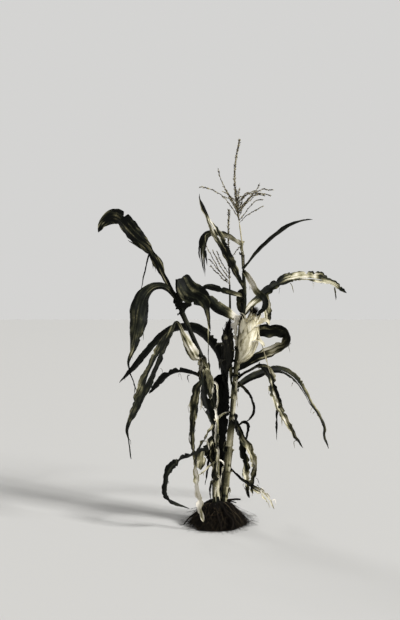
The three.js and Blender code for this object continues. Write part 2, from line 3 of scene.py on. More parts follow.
import bpy
import numpy as np
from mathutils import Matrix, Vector


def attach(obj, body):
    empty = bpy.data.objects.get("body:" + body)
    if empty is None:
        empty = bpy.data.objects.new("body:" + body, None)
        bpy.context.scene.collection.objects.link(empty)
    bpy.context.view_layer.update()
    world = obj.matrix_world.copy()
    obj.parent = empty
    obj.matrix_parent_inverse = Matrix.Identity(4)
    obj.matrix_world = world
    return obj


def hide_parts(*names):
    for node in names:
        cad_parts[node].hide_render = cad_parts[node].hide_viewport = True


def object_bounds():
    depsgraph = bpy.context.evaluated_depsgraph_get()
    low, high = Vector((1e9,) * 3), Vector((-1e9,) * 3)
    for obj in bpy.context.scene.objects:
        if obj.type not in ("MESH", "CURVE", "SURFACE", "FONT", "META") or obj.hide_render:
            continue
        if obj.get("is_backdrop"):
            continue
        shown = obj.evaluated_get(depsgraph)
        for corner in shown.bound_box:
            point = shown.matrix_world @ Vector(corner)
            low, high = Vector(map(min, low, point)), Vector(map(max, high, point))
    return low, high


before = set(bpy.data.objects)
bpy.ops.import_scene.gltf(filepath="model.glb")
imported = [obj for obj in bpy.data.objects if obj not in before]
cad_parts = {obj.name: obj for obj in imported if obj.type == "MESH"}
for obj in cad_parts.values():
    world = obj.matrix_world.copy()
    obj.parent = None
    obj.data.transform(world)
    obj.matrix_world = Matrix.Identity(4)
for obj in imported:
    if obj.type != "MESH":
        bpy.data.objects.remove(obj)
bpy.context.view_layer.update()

# Root ball: the plant was dug up with a mound of dark soil, held by matted fine roots. Thicker
# brace roots run down from the feet of the stalks. Its flat underside stands on the floor.
# Lengths in this file are in millimetres, and MM turns them into metres.
MM = 0.001
ROOT_BALL_PROFILE = [(0, 98), (9, 103), (26, 92), (46, 80), (64, 68), (80, 58), (92, 42), (97, 0)]
SOIL_COLOURS = ["#040403", "#0b0907", "#1d1812"]
ROOT_COLOURS = ["#090705", "#17120d", "#4e4434"]
MOUND_TOP = 95
MOUND_RADIUS = 105
MOUND_ROWS = 64
MOUND_COLUMNS = 220
# (depth, size up and round, smooth or in facets) of the clods that the soil has crumbled into
CLODS = [(6, 15, 22, True), (5.5, 7, 9, False), (3.2, 3, 4, False)]


def linear(code):
    """An sRGB hex colour as linear red, green and blue, with alpha."""
    channels = [int(code[i:i + 2], 16) / 255 for i in (1, 3, 5)]
    return [c / 12.92 if c <= 0.04045 else ((c + 0.055) / 1.055) ** 2.4 for c in channels] + [1]


def add_node(material, kind, settings, links=()):
    """Adds a node, gives it its settings, and links (input, node, output) to it."""
    node = material.node_tree.nodes.new(kind)
    for name, value in settings.items():
        if isinstance(name, int) or name in node.inputs:
            node.inputs[name].default_value = value
        else:
            setattr(node, name, value)
    for socket, source, output in links:
        material.node_tree.links.new(source.outputs[output], node.inputs[socket])
    return node


def finish(name, colour, roughness, ior, grain, relief, shine=0.5):
    """A material of one colour, with a fine grain of that size and relief in millimetres."""
    material = bpy.data.materials.new(name)
    material.use_nodes = True
    shader = material.node_tree.nodes["Principled BSDF"]
    shader.inputs["Base Color"].default_value = linear(colour)
    shader.inputs["Roughness"].default_value = roughness
    shader.inputs["IOR"].default_value = ior
    shader.inputs["Specular IOR Level"].default_value = shine
    place = add_node(material, "ShaderNodeTexCoord", {})
    noise = add_node(material, "ShaderNodeTexNoise", {"Scale": 1 / (grain * MM), "Detail": 4},
                     [("Vector", place, "Object")])
    bump = add_node(material, "ShaderNodeBump", {"Distance": relief * MM, "Strength": 0.8},
                    [("Height", noise, "Fac")])
    material.node_tree.links.new(bump.outputs["Normal"], shader.inputs["Normal"])
    return material


def tones_of(name, colours, *values, shine):
    """One material for each tone of a finish, from the darkest to the palest."""
    return [finish(f"{name}_{i}", colour, *values, shine=shine) for i, colour in enumerate(colours)]


def mottled(name, colours, roughness, ior, grain, relief):
    """As finish, with a second and a third colour in patches of the grain's size."""
    material = finish(name, colours[0], roughness, ior, grain / 4, relief, shine=0.2)
    place = next(n for n in material.node_tree.nodes if n.type == "TEX_COORD")
    shade = None
    for colour, size in ((colours[1], grain), (colours[2], grain * 0.4)):
        patches = add_node(material, "ShaderNodeTexNoise", {"Scale": 1 / (size * MM), "Detail": 5},
                           [("Vector", place, "Object")])
        share = add_node(material, "ShaderNodeMapRange", {1: 0.47, 2: 0.66}, [(0, patches, "Fac")])
        links = [(0, share, 0)]
        if shade is not None:
            links.append((6, shade, 2))
        shade = add_node(material, "ShaderNodeMix",
                         {"data_type": "RGBA", 6: linear(colours[0]), 7: linear(colour)}, links)
    shader = material.node_tree.nodes["Principled BSDF"]
    material.node_tree.links.new(shade.outputs[2], shader.inputs["Base Color"])
    return material


def add_piece(name, parts, materials, replaced, sharp=50):
    """Joins parts of (points in millimetres, arrays of faces, a material index for each array's
    faces) into one piece that rides on the plant and stands for the CAD nodes it replaces."""
    points, corners, sizes, indices = [], [], [], []
    offset = 0
    for part_points, face_arrays, part_indices in parts:
        points.append(np.asarray(part_points, float).reshape(-1, 3) * MM)
        for faces, index in zip(face_arrays, part_indices):
            corners.append(faces.reshape(-1) + offset)
            sizes.append(np.full(len(faces), faces.shape[1]))
            indices.append(np.broadcast_to(index, len(faces)))
        offset += len(points[-1])
    points, corners = np.concatenate(points), np.concatenate(corners)
    sizes, indices = np.concatenate(sizes), np.concatenate(indices)
    starts = np.concatenate([[0], np.cumsum(sizes)[:-1]])
    mesh = bpy.data.meshes.new(name)
    mesh.vertices.add(len(points))
    mesh.vertices.foreach_set("co", points.ravel())
    mesh.loops.add(len(corners))
    mesh.loops.foreach_set("vertex_index", corners.astype(np.int32))
    mesh.polygons.add(len(sizes))
    mesh.polygons.foreach_set("loop_start", starts.astype(np.int32))
    mesh.polygons.foreach_set("material_index", indices.astype(np.int32))
    mesh.update(calc_edges=True)
    mesh.shade_smooth()
    mesh.set_sharp_from_angle(angle=math.radians(sharp))
    for material in materials:
        mesh.materials.append(material)
    piece = bpy.data.objects.new(name, mesh)
    bpy.context.scene.collection.objects.link(piece)
    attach(piece, "root")
    if replaced:
        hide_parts(*replaced)
    return piece


def unit(vectors):
    """Vectors brought to a length of one."""
    return vectors / (np.linalg.norm(vectors, axis=-1, keepdims=True) + 1e-9)


def tubes(paths, radii, sides):
    """Closed tubes along many paths at once: paths is (tubes, steps, 3), radii (tubes, steps)."""
    count, steps, _ = paths.shape
    along = unit(np.gradient(paths, axis=1))
    lean = np.where(np.abs(along[:, :1, 2:]) > 0.8, [[[1.0, 0.3, 0.0]]], [[[0.1, 0.2, 1.0]]])
    side = unit(np.cross(along, lean))
    upper = np.cross(side, along)
    angle = 2 * np.pi * np.arange(sides) / sides
    ring = (side[:, :, None] * np.cos(angle)[:, None] + upper[:, :, None] * np.sin(angle)[:, None])
    skin = paths[:, :, None] + ring * radii[:, :, None, None]
    ends = np.stack([paths[:, 0] - along[:, 0] * radii[:, :1],
                     paths[:, -1] + along[:, -1] * radii[:, -1:]], 1)
    points = np.concatenate([skin.reshape(count, -1, 3), ends], 1)
    i, j = np.meshgrid(np.arange(steps - 1), np.arange(sides), indexing="ij")
    a, b = (i * sides + j).ravel(), (i * sides + (j + 1) % sides).ravel()
    walls = np.stack([a, a + sides, b + sides, b], 1)
    j = np.arange(sides)
    first, last = np.full(sides, steps * sides), np.full(sides, steps * sides + 1)
    top = (steps - 1) * sides
    caps = np.concatenate([np.stack([first, j, (j + 1) % sides], 1),
                           np.stack([last, top + (j + 1) % sides, top + j], 1)])
    shift = (np.arange(count) * (steps * sides + 2))[:, None, None]
    faces = [(walls[None] + shift).reshape(-1, 4), (caps[None] + shift).reshape(-1, 3)]
    return points.reshape(-1, 3), faces


def ring_faces(rows, sides):
    """The faces of a skin made of rings of points, and of its two ends."""
    corner = np.arange(rows * sides).reshape(rows, sides)
    right = np.roll(corner, -1, axis=1)
    walls = np.stack([corner[:-1], right[:-1], right[1:], corner[1:]], -1).reshape(-1, 4)
    return [walls, corner[:1, ::-1], corner[-1:]]


def dealt(tones, faces):
    """A tone for each of the faces of many tubes, from one tone for each tube."""
    return [np.repeat(tones, len(array) // len(tones)) for array in faces]


def wander(rng, distance, wavelength, smooth=True):
    """A random line between -1 and 1 along distances: smooth, or in straight runs with kinks."""
    low = distance.min()
    knots = rng.uniform(-1, 1, int((distance.max() - low) / wavelength) + 3)
    place = (distance - low) / wavelength + rng.uniform(0, 1)
    index = np.floor(place).astype(int)
    share = place - index
    if smooth:
        share = share * share * (3 - 2 * share)
    return knots[index] * (1 - share) + knots[index + 1] * share


def wander_2d(rng, a, b, wave_a, wave_b, smooth=True):
    """A random surface between -1 and 1 over two arrays of distances: smooth, or creased."""
    low_a, low_b = a.min(), b.min()
    counts = (int((a.max() - low_a) / wave_a) + 3, int((b.max() - low_b) / wave_b) + 3)
    knots = rng.uniform(-1, 1, counts)
    place_a, place_b = (a - low_a) / wave_a, (b - low_b) / wave_b
    i, j = np.floor(place_a).astype(int), np.floor(place_b).astype(int)
    u, v = place_a - i, place_b - j
    if smooth:
        u, v = u * u * (3 - 2 * u), v * v * (3 - 2 * v)
    near = knots[i, j] * (1 - v) + knots[i, j + 1] * v
    far = knots[i + 1, j] * (1 - v) + knots[i + 1, j + 1] * v
    return near * (1 - u) + far * u


def mound_radius(height, angle):
    """How far out the mound's lumpy flank stands at a height and an angle round it."""
    heights, radii = zip(*ROOT_BALL_PROFILE)
    lumps = 0.05 * np.sin(3 * angle + 1 + height / 40) + 0.03 * np.sin(5 * angle + height / 25)
    return np.interp(height, heights, radii) * (1 + lumps)


def mound():
    """The soil: a mound of clods, closed by its flat underside."""
    rng = np.random.default_rng(7)
    angle = 2 * np.pi * np.arange(MOUND_COLUMNS)[None] / MOUND_COLUMNS
    share = np.linspace(0, 1, MOUND_ROWS)[:, None]
    height = MOUND_TOP * (1 - np.cos(share * np.pi / 2)) ** 0.9 + 0 * angle
    around = MOUND_RADIUS * angle + 0 * height
    clods = sum(depth * wander_2d(rng, height, around, *size_and_kind) for depth, *size_and_kind in CLODS)
    clods[:, -2:] = clods[:, :2][:, ::-1]
    reach = mound_radius(height, angle) - 6 + clods * np.minimum(1, height / 6 + 0.3)
    reach = np.maximum(reach, 0.5)
    points = np.stack([np.cos(angle) * reach, np.sin(angle) * reach, height], 2)
    return points, ring_faces(MOUND_ROWS, MOUND_COLUMNS), [0, 0, 0]


def matted_roots(rng, count, steps, top, swing, lift, radius, fall=1.0):
    """Roots that run over the mound, mostly downward, each curling and lifting in its own way."""
    t = np.linspace(0, 1, steps)[None]
    start = rng.uniform(0, 2 * np.pi, (count, 1))
    high = rng.uniform(top[0], top[1], (count, 1))
    height = high - fall * rng.uniform(0.15, 1, (count, 1)) * (high + 20) * t ** 1.2
    height = np.maximum(height + rng.uniform(0, 4, (count, 1)) * np.sin(9 * t + start), 1.2)
    theta = start + rng.normal(0, swing, (count, 1)) * t
    theta = theta + rng.normal(0, swing / 2.5, (count, 1)) * np.sin(rng.uniform(4, 9, (count, 1)) * t)
    out = mound_radius(height, theta) - 5 + rng.uniform(0, lift, (count, 1)) * (0.2 + 1.8 * t ** 2.5)
    out = out + 2.2 * np.sin(14 * t + 3 * start)
    paths = np.stack([np.cos(theta) * out, np.sin(theta) * out, height], 2)
    radii = rng.uniform(radius[0], radius[1], (count, 1)) * (1 - 0.6 * t)
    return tubes(paths, radii, 3)


# Crumbled loam swallows the light and shows only a few paler crumbs. Dried root skin is fibrous
# and dull, mostly black, with some straw-coloured threads.
soil = mottled("dark_crumbly_soil", SOIL_COLOURS, 0.95, 1.4, 7, 1.6)
root_skin = tones_of("root_skin", ROOT_COLOURS, 0.9, 1.4, 3, 0.3, shine=0.2)
add_piece("root_ball_soil", [mound()], [soil], ["root_ball"])

rng = np.random.default_rng(17)
root_parts = []
# (count, steps, heights they start from, swing round the mound, lift off it, radius)
for count, steps, top, swing, lift, radius in (
        (900, 11, (8, 97), 0.3, 8, (0.45, 0.95)), (700, 9, (3, 80), 0.5, 16, (0.35, 0.7)),
        (220, 13, (25, 97), 0.25, 11, (1.0, 2.2)), (620, 7, (2, 96), 0.16, 32, (0.35, 0.7))):
    points, faces = matted_roots(rng, count, steps, top, swing, lift, radius)
    tones = rng.choice(3, count, p=[0.5, 0.38, 0.12])
    root_parts.append((points, faces, dealt(tones, faces)))

# (heading, height at the stalk, how far out it starts, length, radius, height it ends at)
brace_roots = [(10 + 26 * i, 70 + 9 * (i % 3), 22, 84 + 9 * (i % 4), 2.4 + 0.5 * (i % 4), 8)
               for i in range(14)]
brace_roots += [(-16, 97, 20, 70, 5.2, 104), (6, 88, 22, 50, 3.4, 82), (-38, 92, 16, 46, 3.8, 62)]
t = np.linspace(0, 1, 18)
for heading, first, out, length, radius, last in brace_roots:
    bend = np.radians(heading) + 0.14 * wander(rng, t * length, 34)
    run = out + length * t
    drop = first + (last - first) * t ** 1.5 + 4 * np.sin(3 * t) * (last < first)
    path = np.stack([np.cos(bend) * run, np.sin(bend) * run, drop], 1)
    size = radius * (1 - 0.4 * t) * (1 + 0.12 * wander(rng, t * length, 7))
    points, faces = tubes(path[None], size[None], 8)
    root_parts.append((points, faces, [1, 1]))
add_piece("matted_roots", root_parts, root_skin, ["root_ball"])

# Stalks: three pithy canes grown from one root, ringed at each joint. The rind is smooth and
# slightly waxy, bleached at the foot of the main stalk and darker further up. The left sides of
# the main and left stalks carry painted shade and their right sides painted light, and the stalk
# behind is painted near black as shade, since it stands in the shadow of the other two.
FOOT_HEIGHT = 62
MAIN, CENTRE, LEFT = "main_stalk", "centre_stalk", "left_stalk"
# A stalk's dry runs from foot to top, from black through straw to white, and the last of its
# lists is painted light and shade: how much paler the right side is than the left.
STALKS = {
    MAIN: dict(
        foot=(20, -2, FOOT_HEIGHT), heading=0,
        legs=[[355, 84.4], [200, 85.8], [245, 83], [60, 88], [85, 94], [90, 93]],
        radii=[14.5, 13.8, 12.8, 11.5, 10.2, 9.4, 8.6, 7.6, 4.2, 3],
        joints=[105, 150, 225, 310, 418, 495, 555, 612, 700, 794, 900, 996],
        dry=[0.3, 0.46, 0.56, 0.6, 0.56, 0.36, 0.16, 0.1, 0.16, 0.55], streak=0.22,
        painted_side_shade=[0.36, 0.36, 0.24, 0.12, 0.06, 0]),
    # The centre stalk's near-black dry is painted shade: it stands behind the other two, in their shadow.
    CENTRE: dict(
        foot=(9, 34, FOOT_HEIGHT), heading=0, legs=[[250, 88], [250, 86.5], [240, 86.5], [130, 91]],
        radii=[12.5, 11.5, 10, 8.5, 6.5, 4.5, 3], joints=[120, 200, 300, 420, 530, 600, 720],
        dry=[0.1, 0.06, 0.04, 0.04, 0.1, 0.3, 0.4], streak=0.08, painted_side_shade=[0]),
    LEFT: dict(
        foot=(-9, -20, FOOT_HEIGHT), heading=180,
        legs=[[110, 91], [180, 89], [110, 86], [100, 81.5], [90, 74], [150, 66], [115, 68]],
        radii=[12, 11.5, 10.5, 10, 9.5, 9, 8, 7], joints=[115, 190, 308, 420, 530, 590, 650, 780, 860],
        dry=[0.14, 0.2, 0.26, 0.2, 0.2, 0.14, 0.1, 0.1], streak=0.34, painted_side_shade=[0.14, 0.1, 0]),
}
# Key colours of the drying skin, from dark green through olive and straw to bleached
PLANT_KEYS = ["#080906", "#11130c", "#222419", "#444130", "#747054", "#a39d82", "#c6c0aa", "#ded9cc"]
PLANT_TONES = 14
STALK_SIDES = 48
STALK_STEP = 2.5
MEAN_RADIUS = 12
RING_HALF = 4.5
RING_SWELL = 0.1
GROOVE_ABOVE = 9
GROOVE_SINK = 0.06
FLUTES = 16
FLUTE_DEPTH = 0.25
CUT_TONE = 6


def between(keys, count):
    """Hex colours in even steps along a list of key colours."""
    channels = np.array([[int(key[i:i + 2], 16) for i in (1, 3, 5)] for key in keys])
    steps = np.linspace(0, len(keys) - 1, count)
    mixed = np.stack([np.interp(steps, range(len(keys)), channels[:, k]) for k in range(3)], 1)
    return ["#%02x%02x%02x" % tuple(row) for row in mixed.astype(int)]


# Dried maize skin, grown with a thin wax: a soft sheen on dark green, nearly none on bleached straw.
plant_skin = [finish(f"maize_skin_{i}_green_to_straw", colour, 0.6 + 0.2 * i / PLANT_TONES, 1.42, 2.2,
                     0.25, shine=0.14) for i, colour in enumerate(between(PLANT_KEYS, PLANT_TONES))]


def toned(dryness, rng, count=PLANT_TONES):
    """Tones from dryness between 0 and 1, with a scatter that blends one into the next."""
    scattered = dryness + rng.uniform(-0.035, 0.035, dryness.shape)
    return np.clip((scattered * count).astype(int), 0, count - 1)


def eased(legs, field, distance):
    """A leg's climb or turn at distances along the legs, eased from each leg into the next."""
    value = [leg[field] if len(leg) > field else 0 for leg in legs]
    knots, levels, joint = [0], [value[0]], 0
    for i in range(len(legs) - 1):
        joint += legs[i][0]
        ease = min(legs[i][0], legs[i + 1][0]) / 2
        knots += [joint - ease, joint + ease]
        levels += [value[i], value[i + 1]]
    return np.interp(distance, knots, levels)


def spine(start, heading, legs):
    """Frames each millimetre along legs of (length, climb, turn), as the solids are laid out."""
    length = sum(leg[0] for leg in legs)
    distance = np.linspace(0, length, int(length) + 1)
    step = distance[1]

    def aim(at):
        climb = np.radians(eased(legs, 1, at))
        turned = np.radians(heading + eased(legs, 2, at))
        flat = np.stack([np.cos(turned), np.sin(turned), 0 * turned], 1)
        up = np.array([[0, 0, 1.0]])
        along = flat * np.cos(climb)[:, None] + up * np.sin(climb)[:, None]
        upper = up * np.cos(climb)[:, None] - flat * np.sin(climb)[:, None]
        side = np.stack([-np.sin(turned), np.cos(turned), 0 * turned], 1)
        return along, side, upper

    strides = aim(distance[:-1] + step / 2)[0] * step
    place = np.asarray(start, float) + np.concatenate([np.zeros((1, 3)), np.cumsum(strides, 0)])
    along, side, upper = aim(distance)
    return {"distance": distance, "place": place, "along": along, "side": side, "upper": upper}


def sampled(line, distance):
    """The frames of a line at given distances."""
    def at(values):
        return np.stack([np.interp(distance, line["distance"], values[:, k]) for k in range(3)], 1)
    return {name: distance if name == "distance" else at(line[name]) for name in line}


def spread(values, share):
    """The value at a share of the way along a list of evenly spread values."""
    return np.interp(share, np.linspace(0, 1, len(values)), values)


def round_line(middle, at, angle, reach, squash=1.0):
    """Points round the frames of a line, at angles and reaches, squashed from side to side."""
    aside = at["side"][:, None] * (np.cos(angle) * reach * squash)[..., None]
    return middle[:, None] + aside + at["upper"][:, None] * (np.sin(angle) * reach)[..., None]


def cane(stalk, rng):
    """A stalk's skin: fluted rind, a swollen ring at each joint, and a shallow groove above it."""
    s = np.arange(0, stalk["length"] + STALK_STEP / 2, STALK_STEP)
    line = sampled(stalk["line"], np.minimum(s, stalk["length"]))
    z = line["place"][:, 2]
    angle = 2 * np.pi * np.arange(STALK_SIDES)[None] / STALK_SIDES + 0 * s[:, None]
    ring = sum(np.exp(-((z - joint) / RING_HALF) ** 2) for joint in stalk["joints"])[:, None]
    groove = sum(np.exp(-((z - joint - GROOVE_ABOVE) / 5) ** 2) for joint in stalk["joints"])[:, None]
    radius = spread(stalk["radii"], s / stalk["length"])[:, None]
    radius = radius * (1 + RING_SWELL * ring - GROOVE_SINK * groove)
    flutes = np.sin(FLUTES * angle + 0.4 * wander(rng, s, 90)[:, None])
    radius = radius + FLUTE_DEPTH * flutes * (1 - ring)
    up, around = s[:, None] + 0 * angle, MEAN_RADIUS * angle
    radius = radius + 0.6 * wander_2d(rng, up, around, 30, 9)
    skin = round_line(line["place"], line, angle, radius)
    dryness = spread(stalk["dry"], s / stalk["length"])[:, None]
    dryness = dryness + stalk["streak"] * wander_2d(rng, up, around, 80, 3)
    dryness = dryness + 0.1 * wander_2d(rng, up, around, 30, 14) + 0.06 * ring - 0.3 * groove
    # Painted light and shade: the right side paler and the left side darker, as if lit from the right.
    dryness = dryness - spread(stalk["painted_side_shade"], s / stalk["length"])[:, None] * np.sin(angle)
    tones = toned(dryness[:-1], rng).ravel()
    return skin, ring_faces(len(skin), STALK_SIDES), [tones, CUT_TONE, CUT_TONE]


for name, stalk in STALKS.items():
    stalk["line"] = spine(stalk["foot"], stalk["heading"], stalk["legs"])
    stalk["length"] = stalk["line"]["distance"][-1]
    rng = np.random.default_rng(len(name) * 31)
    add_piece(f"{name}_cane", [cane(stalk, rng)], plant_skin, [name], sharp=70)

# Leaves: long parallel-veined blades on a stiff midrib, each with a sheath that clasps the stalk
# down to the next joint. They have dried where they hang, from dull dark green through olive and
# buff to bleached paper, and they curl, kink and tear along their veins.
ROW = 3.6
# The veins are real corrugations, drawn about twice as coarse as the millimetre or so of life.
VEIN = 2.6
VEIN_DEPTH = 0.2
SHEET = 0.45
SECTION_STEPS = 12
CLASP_LENGTH = 34
STIFF_LENGTH = 130
TIP_LENGTH = 12
RIPPLE_LENGTH = 52
SHEATH_COLUMNS = 25
SHEATH_GAP = 1.1
SPRING_OUT = 0.55
# How a leaf looks unless it says otherwise: curl of its margins in degrees, ripple as a share of
# half its width, crumple and wobble in millimetres, twist in degrees, ragged as a share of its
# width, notches torn into its margins, slivers torn from them, pinches where it has kinked, in
# dryness the edge, the streaks, the lean to one margin, which is partly drying and partly painted
# light and shade across the blade, and the under side, how far the rib stands out in millimetres,
# and how much a torn ribbon shrinks.
LOOK = dict(curl=24, ripple=0.07, crumple=1.0, wobble=2.5, twist=8, ragged=0.035, notches=1, slivers=1,
            pinches=0, edge=0.1, streak=0.14, lean=0.0, rib=1.6, under=0.04, shrink=0.3)


def withered(**changes):
    """The look of a blade that has dried to a kinked strip, pale on one side, dark on the other."""
    look = dict(curl=70, ripple=0.12, crumple=2.6, wobble=4, twist=55, ragged=0.34, notches=6, slivers=6,
                pinches=3, streak=0.34, under=-0.4)
    return {**look, **changes}


def sheet(grid, thickness, rib=0):
    """A closed thin sheet on a grid of points, with a rib standing out of its lower side. Gives
    the points and the faces: upper side, lower side, and the rim in four runs."""
    rows, columns, _ = grid.shape
    normal = unit(np.cross(np.gradient(grid, axis=0), np.gradient(grid, axis=1)))
    upper = grid + normal * thickness / 2
    lower = grid - normal * (thickness / 2 + rib)
    a = np.arange(rows * columns).reshape(rows, columns)
    b = a + rows * columns
    top = np.stack([a[:-1, :-1], a[1:, :-1], a[1:, 1:], a[:-1, 1:]], -1).reshape(-1, 4)
    under = np.stack([b[:-1, :-1], b[:-1, 1:], b[1:, 1:], b[1:, :-1]], -1).reshape(-1, 4)
    rims = [np.stack([a[1:, 0], a[:-1, 0], b[:-1, 0], b[1:, 0]], -1),
            np.stack([a[:-1, -1], a[1:, -1], b[1:, -1], b[:-1, -1]], -1),
            np.stack([a[0, :-1], a[0, 1:], b[0, 1:], b[0, :-1]], -1),
            np.stack([a[-1, 1:], a[-1, :-1], b[-1, :-1], b[-1, 1:]], -1)]
    return np.concatenate([upper.reshape(-1, 3), lower.reshape(-1, 3)]), [top, under] + rims


def toned_sheet(grid, dryness, rng, under=0.0, rib=0):
    """A sheet with its faces' tones, from the dryness at each point of the grid."""
    points, faces = sheet(grid, SHEET, rib)
    middle = (dryness[1:, 1:] + dryness[:-1, 1:] + dryness[1:, :-1] + dryness[:-1, :-1]) / 4
    rims = [dryness[1:, 0], dryness[1:, -1], dryness[0, 1:], dryness[-1, 1:]]
    return points, faces, [toned(d, rng).ravel() for d in [middle, middle + under] + rims]


def half_section(size, bend, fold):
    """How far out and up a half blade reaches at shares of its width, where its slope grows from
    the fold at the midrib by the bend at the margin. It keeps the flat blade's reach."""
    steps = np.linspace(0, 1, SECTION_STEPS + 1)
    slope = np.radians(fold) + bend[:, None] * ((steps[1:] + steps[:-1]) / 2) ** 2
    none = np.zeros((len(bend), 1))
    out = np.concatenate([none, np.cumsum(np.cos(slope), 1) / SECTION_STEPS], 1)
    up = np.concatenate([none, np.cumsum(np.sin(slope), 1) / SECTION_STEPS], 1)
    fit = np.cos(np.radians(fold)) / np.maximum(out[:, -1:], 0.55)
    row = np.arange(len(bend))[:, None]
    place = np.clip(size * SECTION_STEPS, 0, SECTION_STEPS - 0.001)
    low, share = place.astype(int), place % 1
    return [fit * (curve[row, low] * (1 - share) + curve[row, low + 1] * share) for curve in (out, up)]


def margin(rng, s, length, look):
    """The outline of one side of a blade as a share of its width, ragged and torn into."""
    outline = 1 + look["ragged"] * (0.6 * wander(rng, s, 26) + 0.7 * wander(rng, s, 8, False))
    for _ in range(look["notches"]):
        centre, depth, wide = rng.uniform(0.2, 0.97) * length, rng.uniform(0.15, 0.55), rng.uniform(4, 12)
        outline -= depth * np.clip(1 - np.abs(s - centre) / wide, 0, 1)
    return np.clip(outline, 0.3, 1.2)[:, None]


def surface(line, rng, widths, rolls, fold, look, clasp):
    """A whole blade as a grid of points, with the share of its width at each column."""
    length = line["distance"][-1]
    s = np.linspace(0, length, max(5, int(length / ROW)))
    at = sampled(line, s)
    half = spread(widths, s / length) / 2
    half = np.convolve(np.pad(half, 2, mode="edge"), np.ones(5) / 5, mode="valid")
    turn = 0 * s
    for _ in range(look["pinches"]):
        centre = rng.uniform(0.15, 0.9) * length
        half = half * (1 - rng.uniform(0.3, 0.65) * np.clip(1 - np.abs(s - centre) / 11, 0, 1))
        turn = turn + rng.uniform(-75, 75) * np.clip((s - centre) / 14, -0.5, 0.5)
    half = (half * np.sqrt(np.clip((length - s) / TIP_LENGTH, 0.04, 1)))[:, None]
    columns = int(np.clip(round(2 * half.max() / VEIN), 3, 30))
    t = np.linspace(-1, 1, columns + 1)[None] + 0 * s[:, None]
    size = np.abs(t)
    calm = np.clip(s / STIFF_LENGTH, 0.12, 1)[:, None]
    shapes = []
    for _ in range(2):
        bend = np.radians(look["curl"]) * (0.9 + 0.9 * wander(rng, s, 70))
        out, up = half_section(size, bend, fold)
        shapes.append((out, up, margin(rng, s, length, look), rng.uniform(0, 6)))
    left = t < 0
    out, up, outline, phase = [np.where(left, a, b) for a, b in zip(*shapes)]
    u = np.sign(t) * half * outline * out
    v = half * outline * up
    swell = (0.6 + 0.5 * wander(rng, s, 60))[:, None]
    wave = 2 * np.pi * (s / RIPPLE_LENGTH + 0.45 * wander(rng, s, 60))[:, None] + phase
    v = v + look["ripple"] * calm * swell * half * size ** 1.6 * np.sin(wave)
    along, over = s[:, None] + 0 * t, t * half
    v = v + look["crumple"] * calm * (0.3 + size) * wander_2d(rng, along, over, 18, 12)
    v = v + look["crumple"] * calm * 0.9 * wander_2d(rng, along, over, 30, 10, False)
    v = v + VEIN_DEPTH * (-1.0) ** np.arange(columns + 1)[None]
    hold = np.clip(1 - s / CLASP_LENGTH, 0, 1)[:, None] ** 1.5
    if clasp:
        v = v + hold * u ** 2 / (1.5 * clasp)
    turn = turn + look["twist"] * wander(rng, s, 60 if look["pinches"] == 0 else 38, False)
    roll = np.radians(spread(rolls, s / length) + calm[:, 0] * turn)
    across = at["side"] * np.cos(roll)[:, None] + at["upper"] * np.sin(roll)[:, None]
    face = at["upper"] * np.cos(roll)[:, None] - at["side"] * np.sin(roll)[:, None]
    sway = np.stack([wander(rng, s, 55, False) + 0.45 * wander(rng, s, 21, False) for _ in range(2)], 1)
    sway = look["wobble"] * calm * sway
    place = at["place"] + at["side"] * sway[:, :1] + at["upper"] * sway[:, 1:]
    grid = place[:, None] + across[:, None] * u[..., None] + face[:, None] * v[..., None]
    return grid, t, along, over, half, across, face


def blade(line, rng, widths, rolls, fold, dry, torn=None, clasp=0, **changes):
    """The parts of a blade. torn is (from, to, cuts, drift): between those shares of its length
    it is torn along its veins at those shares of its half width, into ribbons that drift apart.
    Where to is 1 or more, the ribbons end loose."""
    look = {**LOOK, **changes}
    grid, t, along, over, half, across, face = surface(line, rng, widths, rolls, fold, look, clasp)
    rows, columns = t.shape
    length = along[-1, 0]
    # The lean makes one margin paler and the other darker: partly drying, partly painted light and shade
    # across the blade.
    dryness = spread(dry, along / length) + look["edge"] * np.abs(t) ** 3 + look["lean"] * t
    dryness = dryness + look["streak"] * wander_2d(rng, along, over, 80, 2.8)
    dryness = dryness + look["streak"] * wander_2d(rng, along, over, 22, 9, False)
    dryness = dryness + 0.14 * (np.abs(over) < 1.6) * (1 - 0.6 * along / length) * (half > 6)
    rib = look["rib"] * (1 - along / length) * np.clip(1 - np.abs(over) / 3.0, 0, 1)
    start, end, cuts, drift = torn or (2, 2, [], 0)
    cut_columns = [round((cut + 1) / 2 * (columns - 1)) for cut in cuts]
    bounds = sorted(set([0] + cut_columns + [columns - 1]))
    parts = []
    for first, last in zip(bounds[:-1], bounds[1:]):
        piece = grid[:, first:last + 1]
        tone = dryness[:, first:last + 1]
        stop = rows
        if len(bounds) > 2:
            share = along[:, 0] / length
            free = np.clip((share - start - rng.uniform(-0.03, 0.06)) * length / 45, 0, 1)
            free = free * np.clip((end - share) * length / 40, 0, 1)
            middle = piece.mean(axis=1, keepdims=True)
            piece = piece + (middle - piece) * (free * rng.uniform(0.3, 1) * look["shrink"])[:, None, None]
            push = drift * free * (rng.uniform(-0.7, 0.7) + 0.7 * wander(rng, along[:, 0], 70))
            lift = drift * free * (rng.uniform(-0.9, 0.9) + 0.9 * wander(rng, along[:, 0], 60))
            piece = piece + (across * push[:, None] + face * lift[:, None])[:, None]
            tone = tone + (free * rng.uniform(-0.1, 0.12))[:, None]
            if end >= 1:
                stop = max(6, int(rows * min(1, start + (1 - start) * rng.uniform(0.5, 1.35))))
                fade = np.clip((np.arange(rows) - stop + 7) / 7, 0, 0.9)[:, None, None]
                piece = piece + (piece.mean(axis=1, keepdims=True) - piece) * fade * (stop < rows)
        parts.append(toned_sheet(piece[:stop], tone[:stop], rng, look["under"],
                                 rib[:stop, first:last + 1, None]))
    return parts


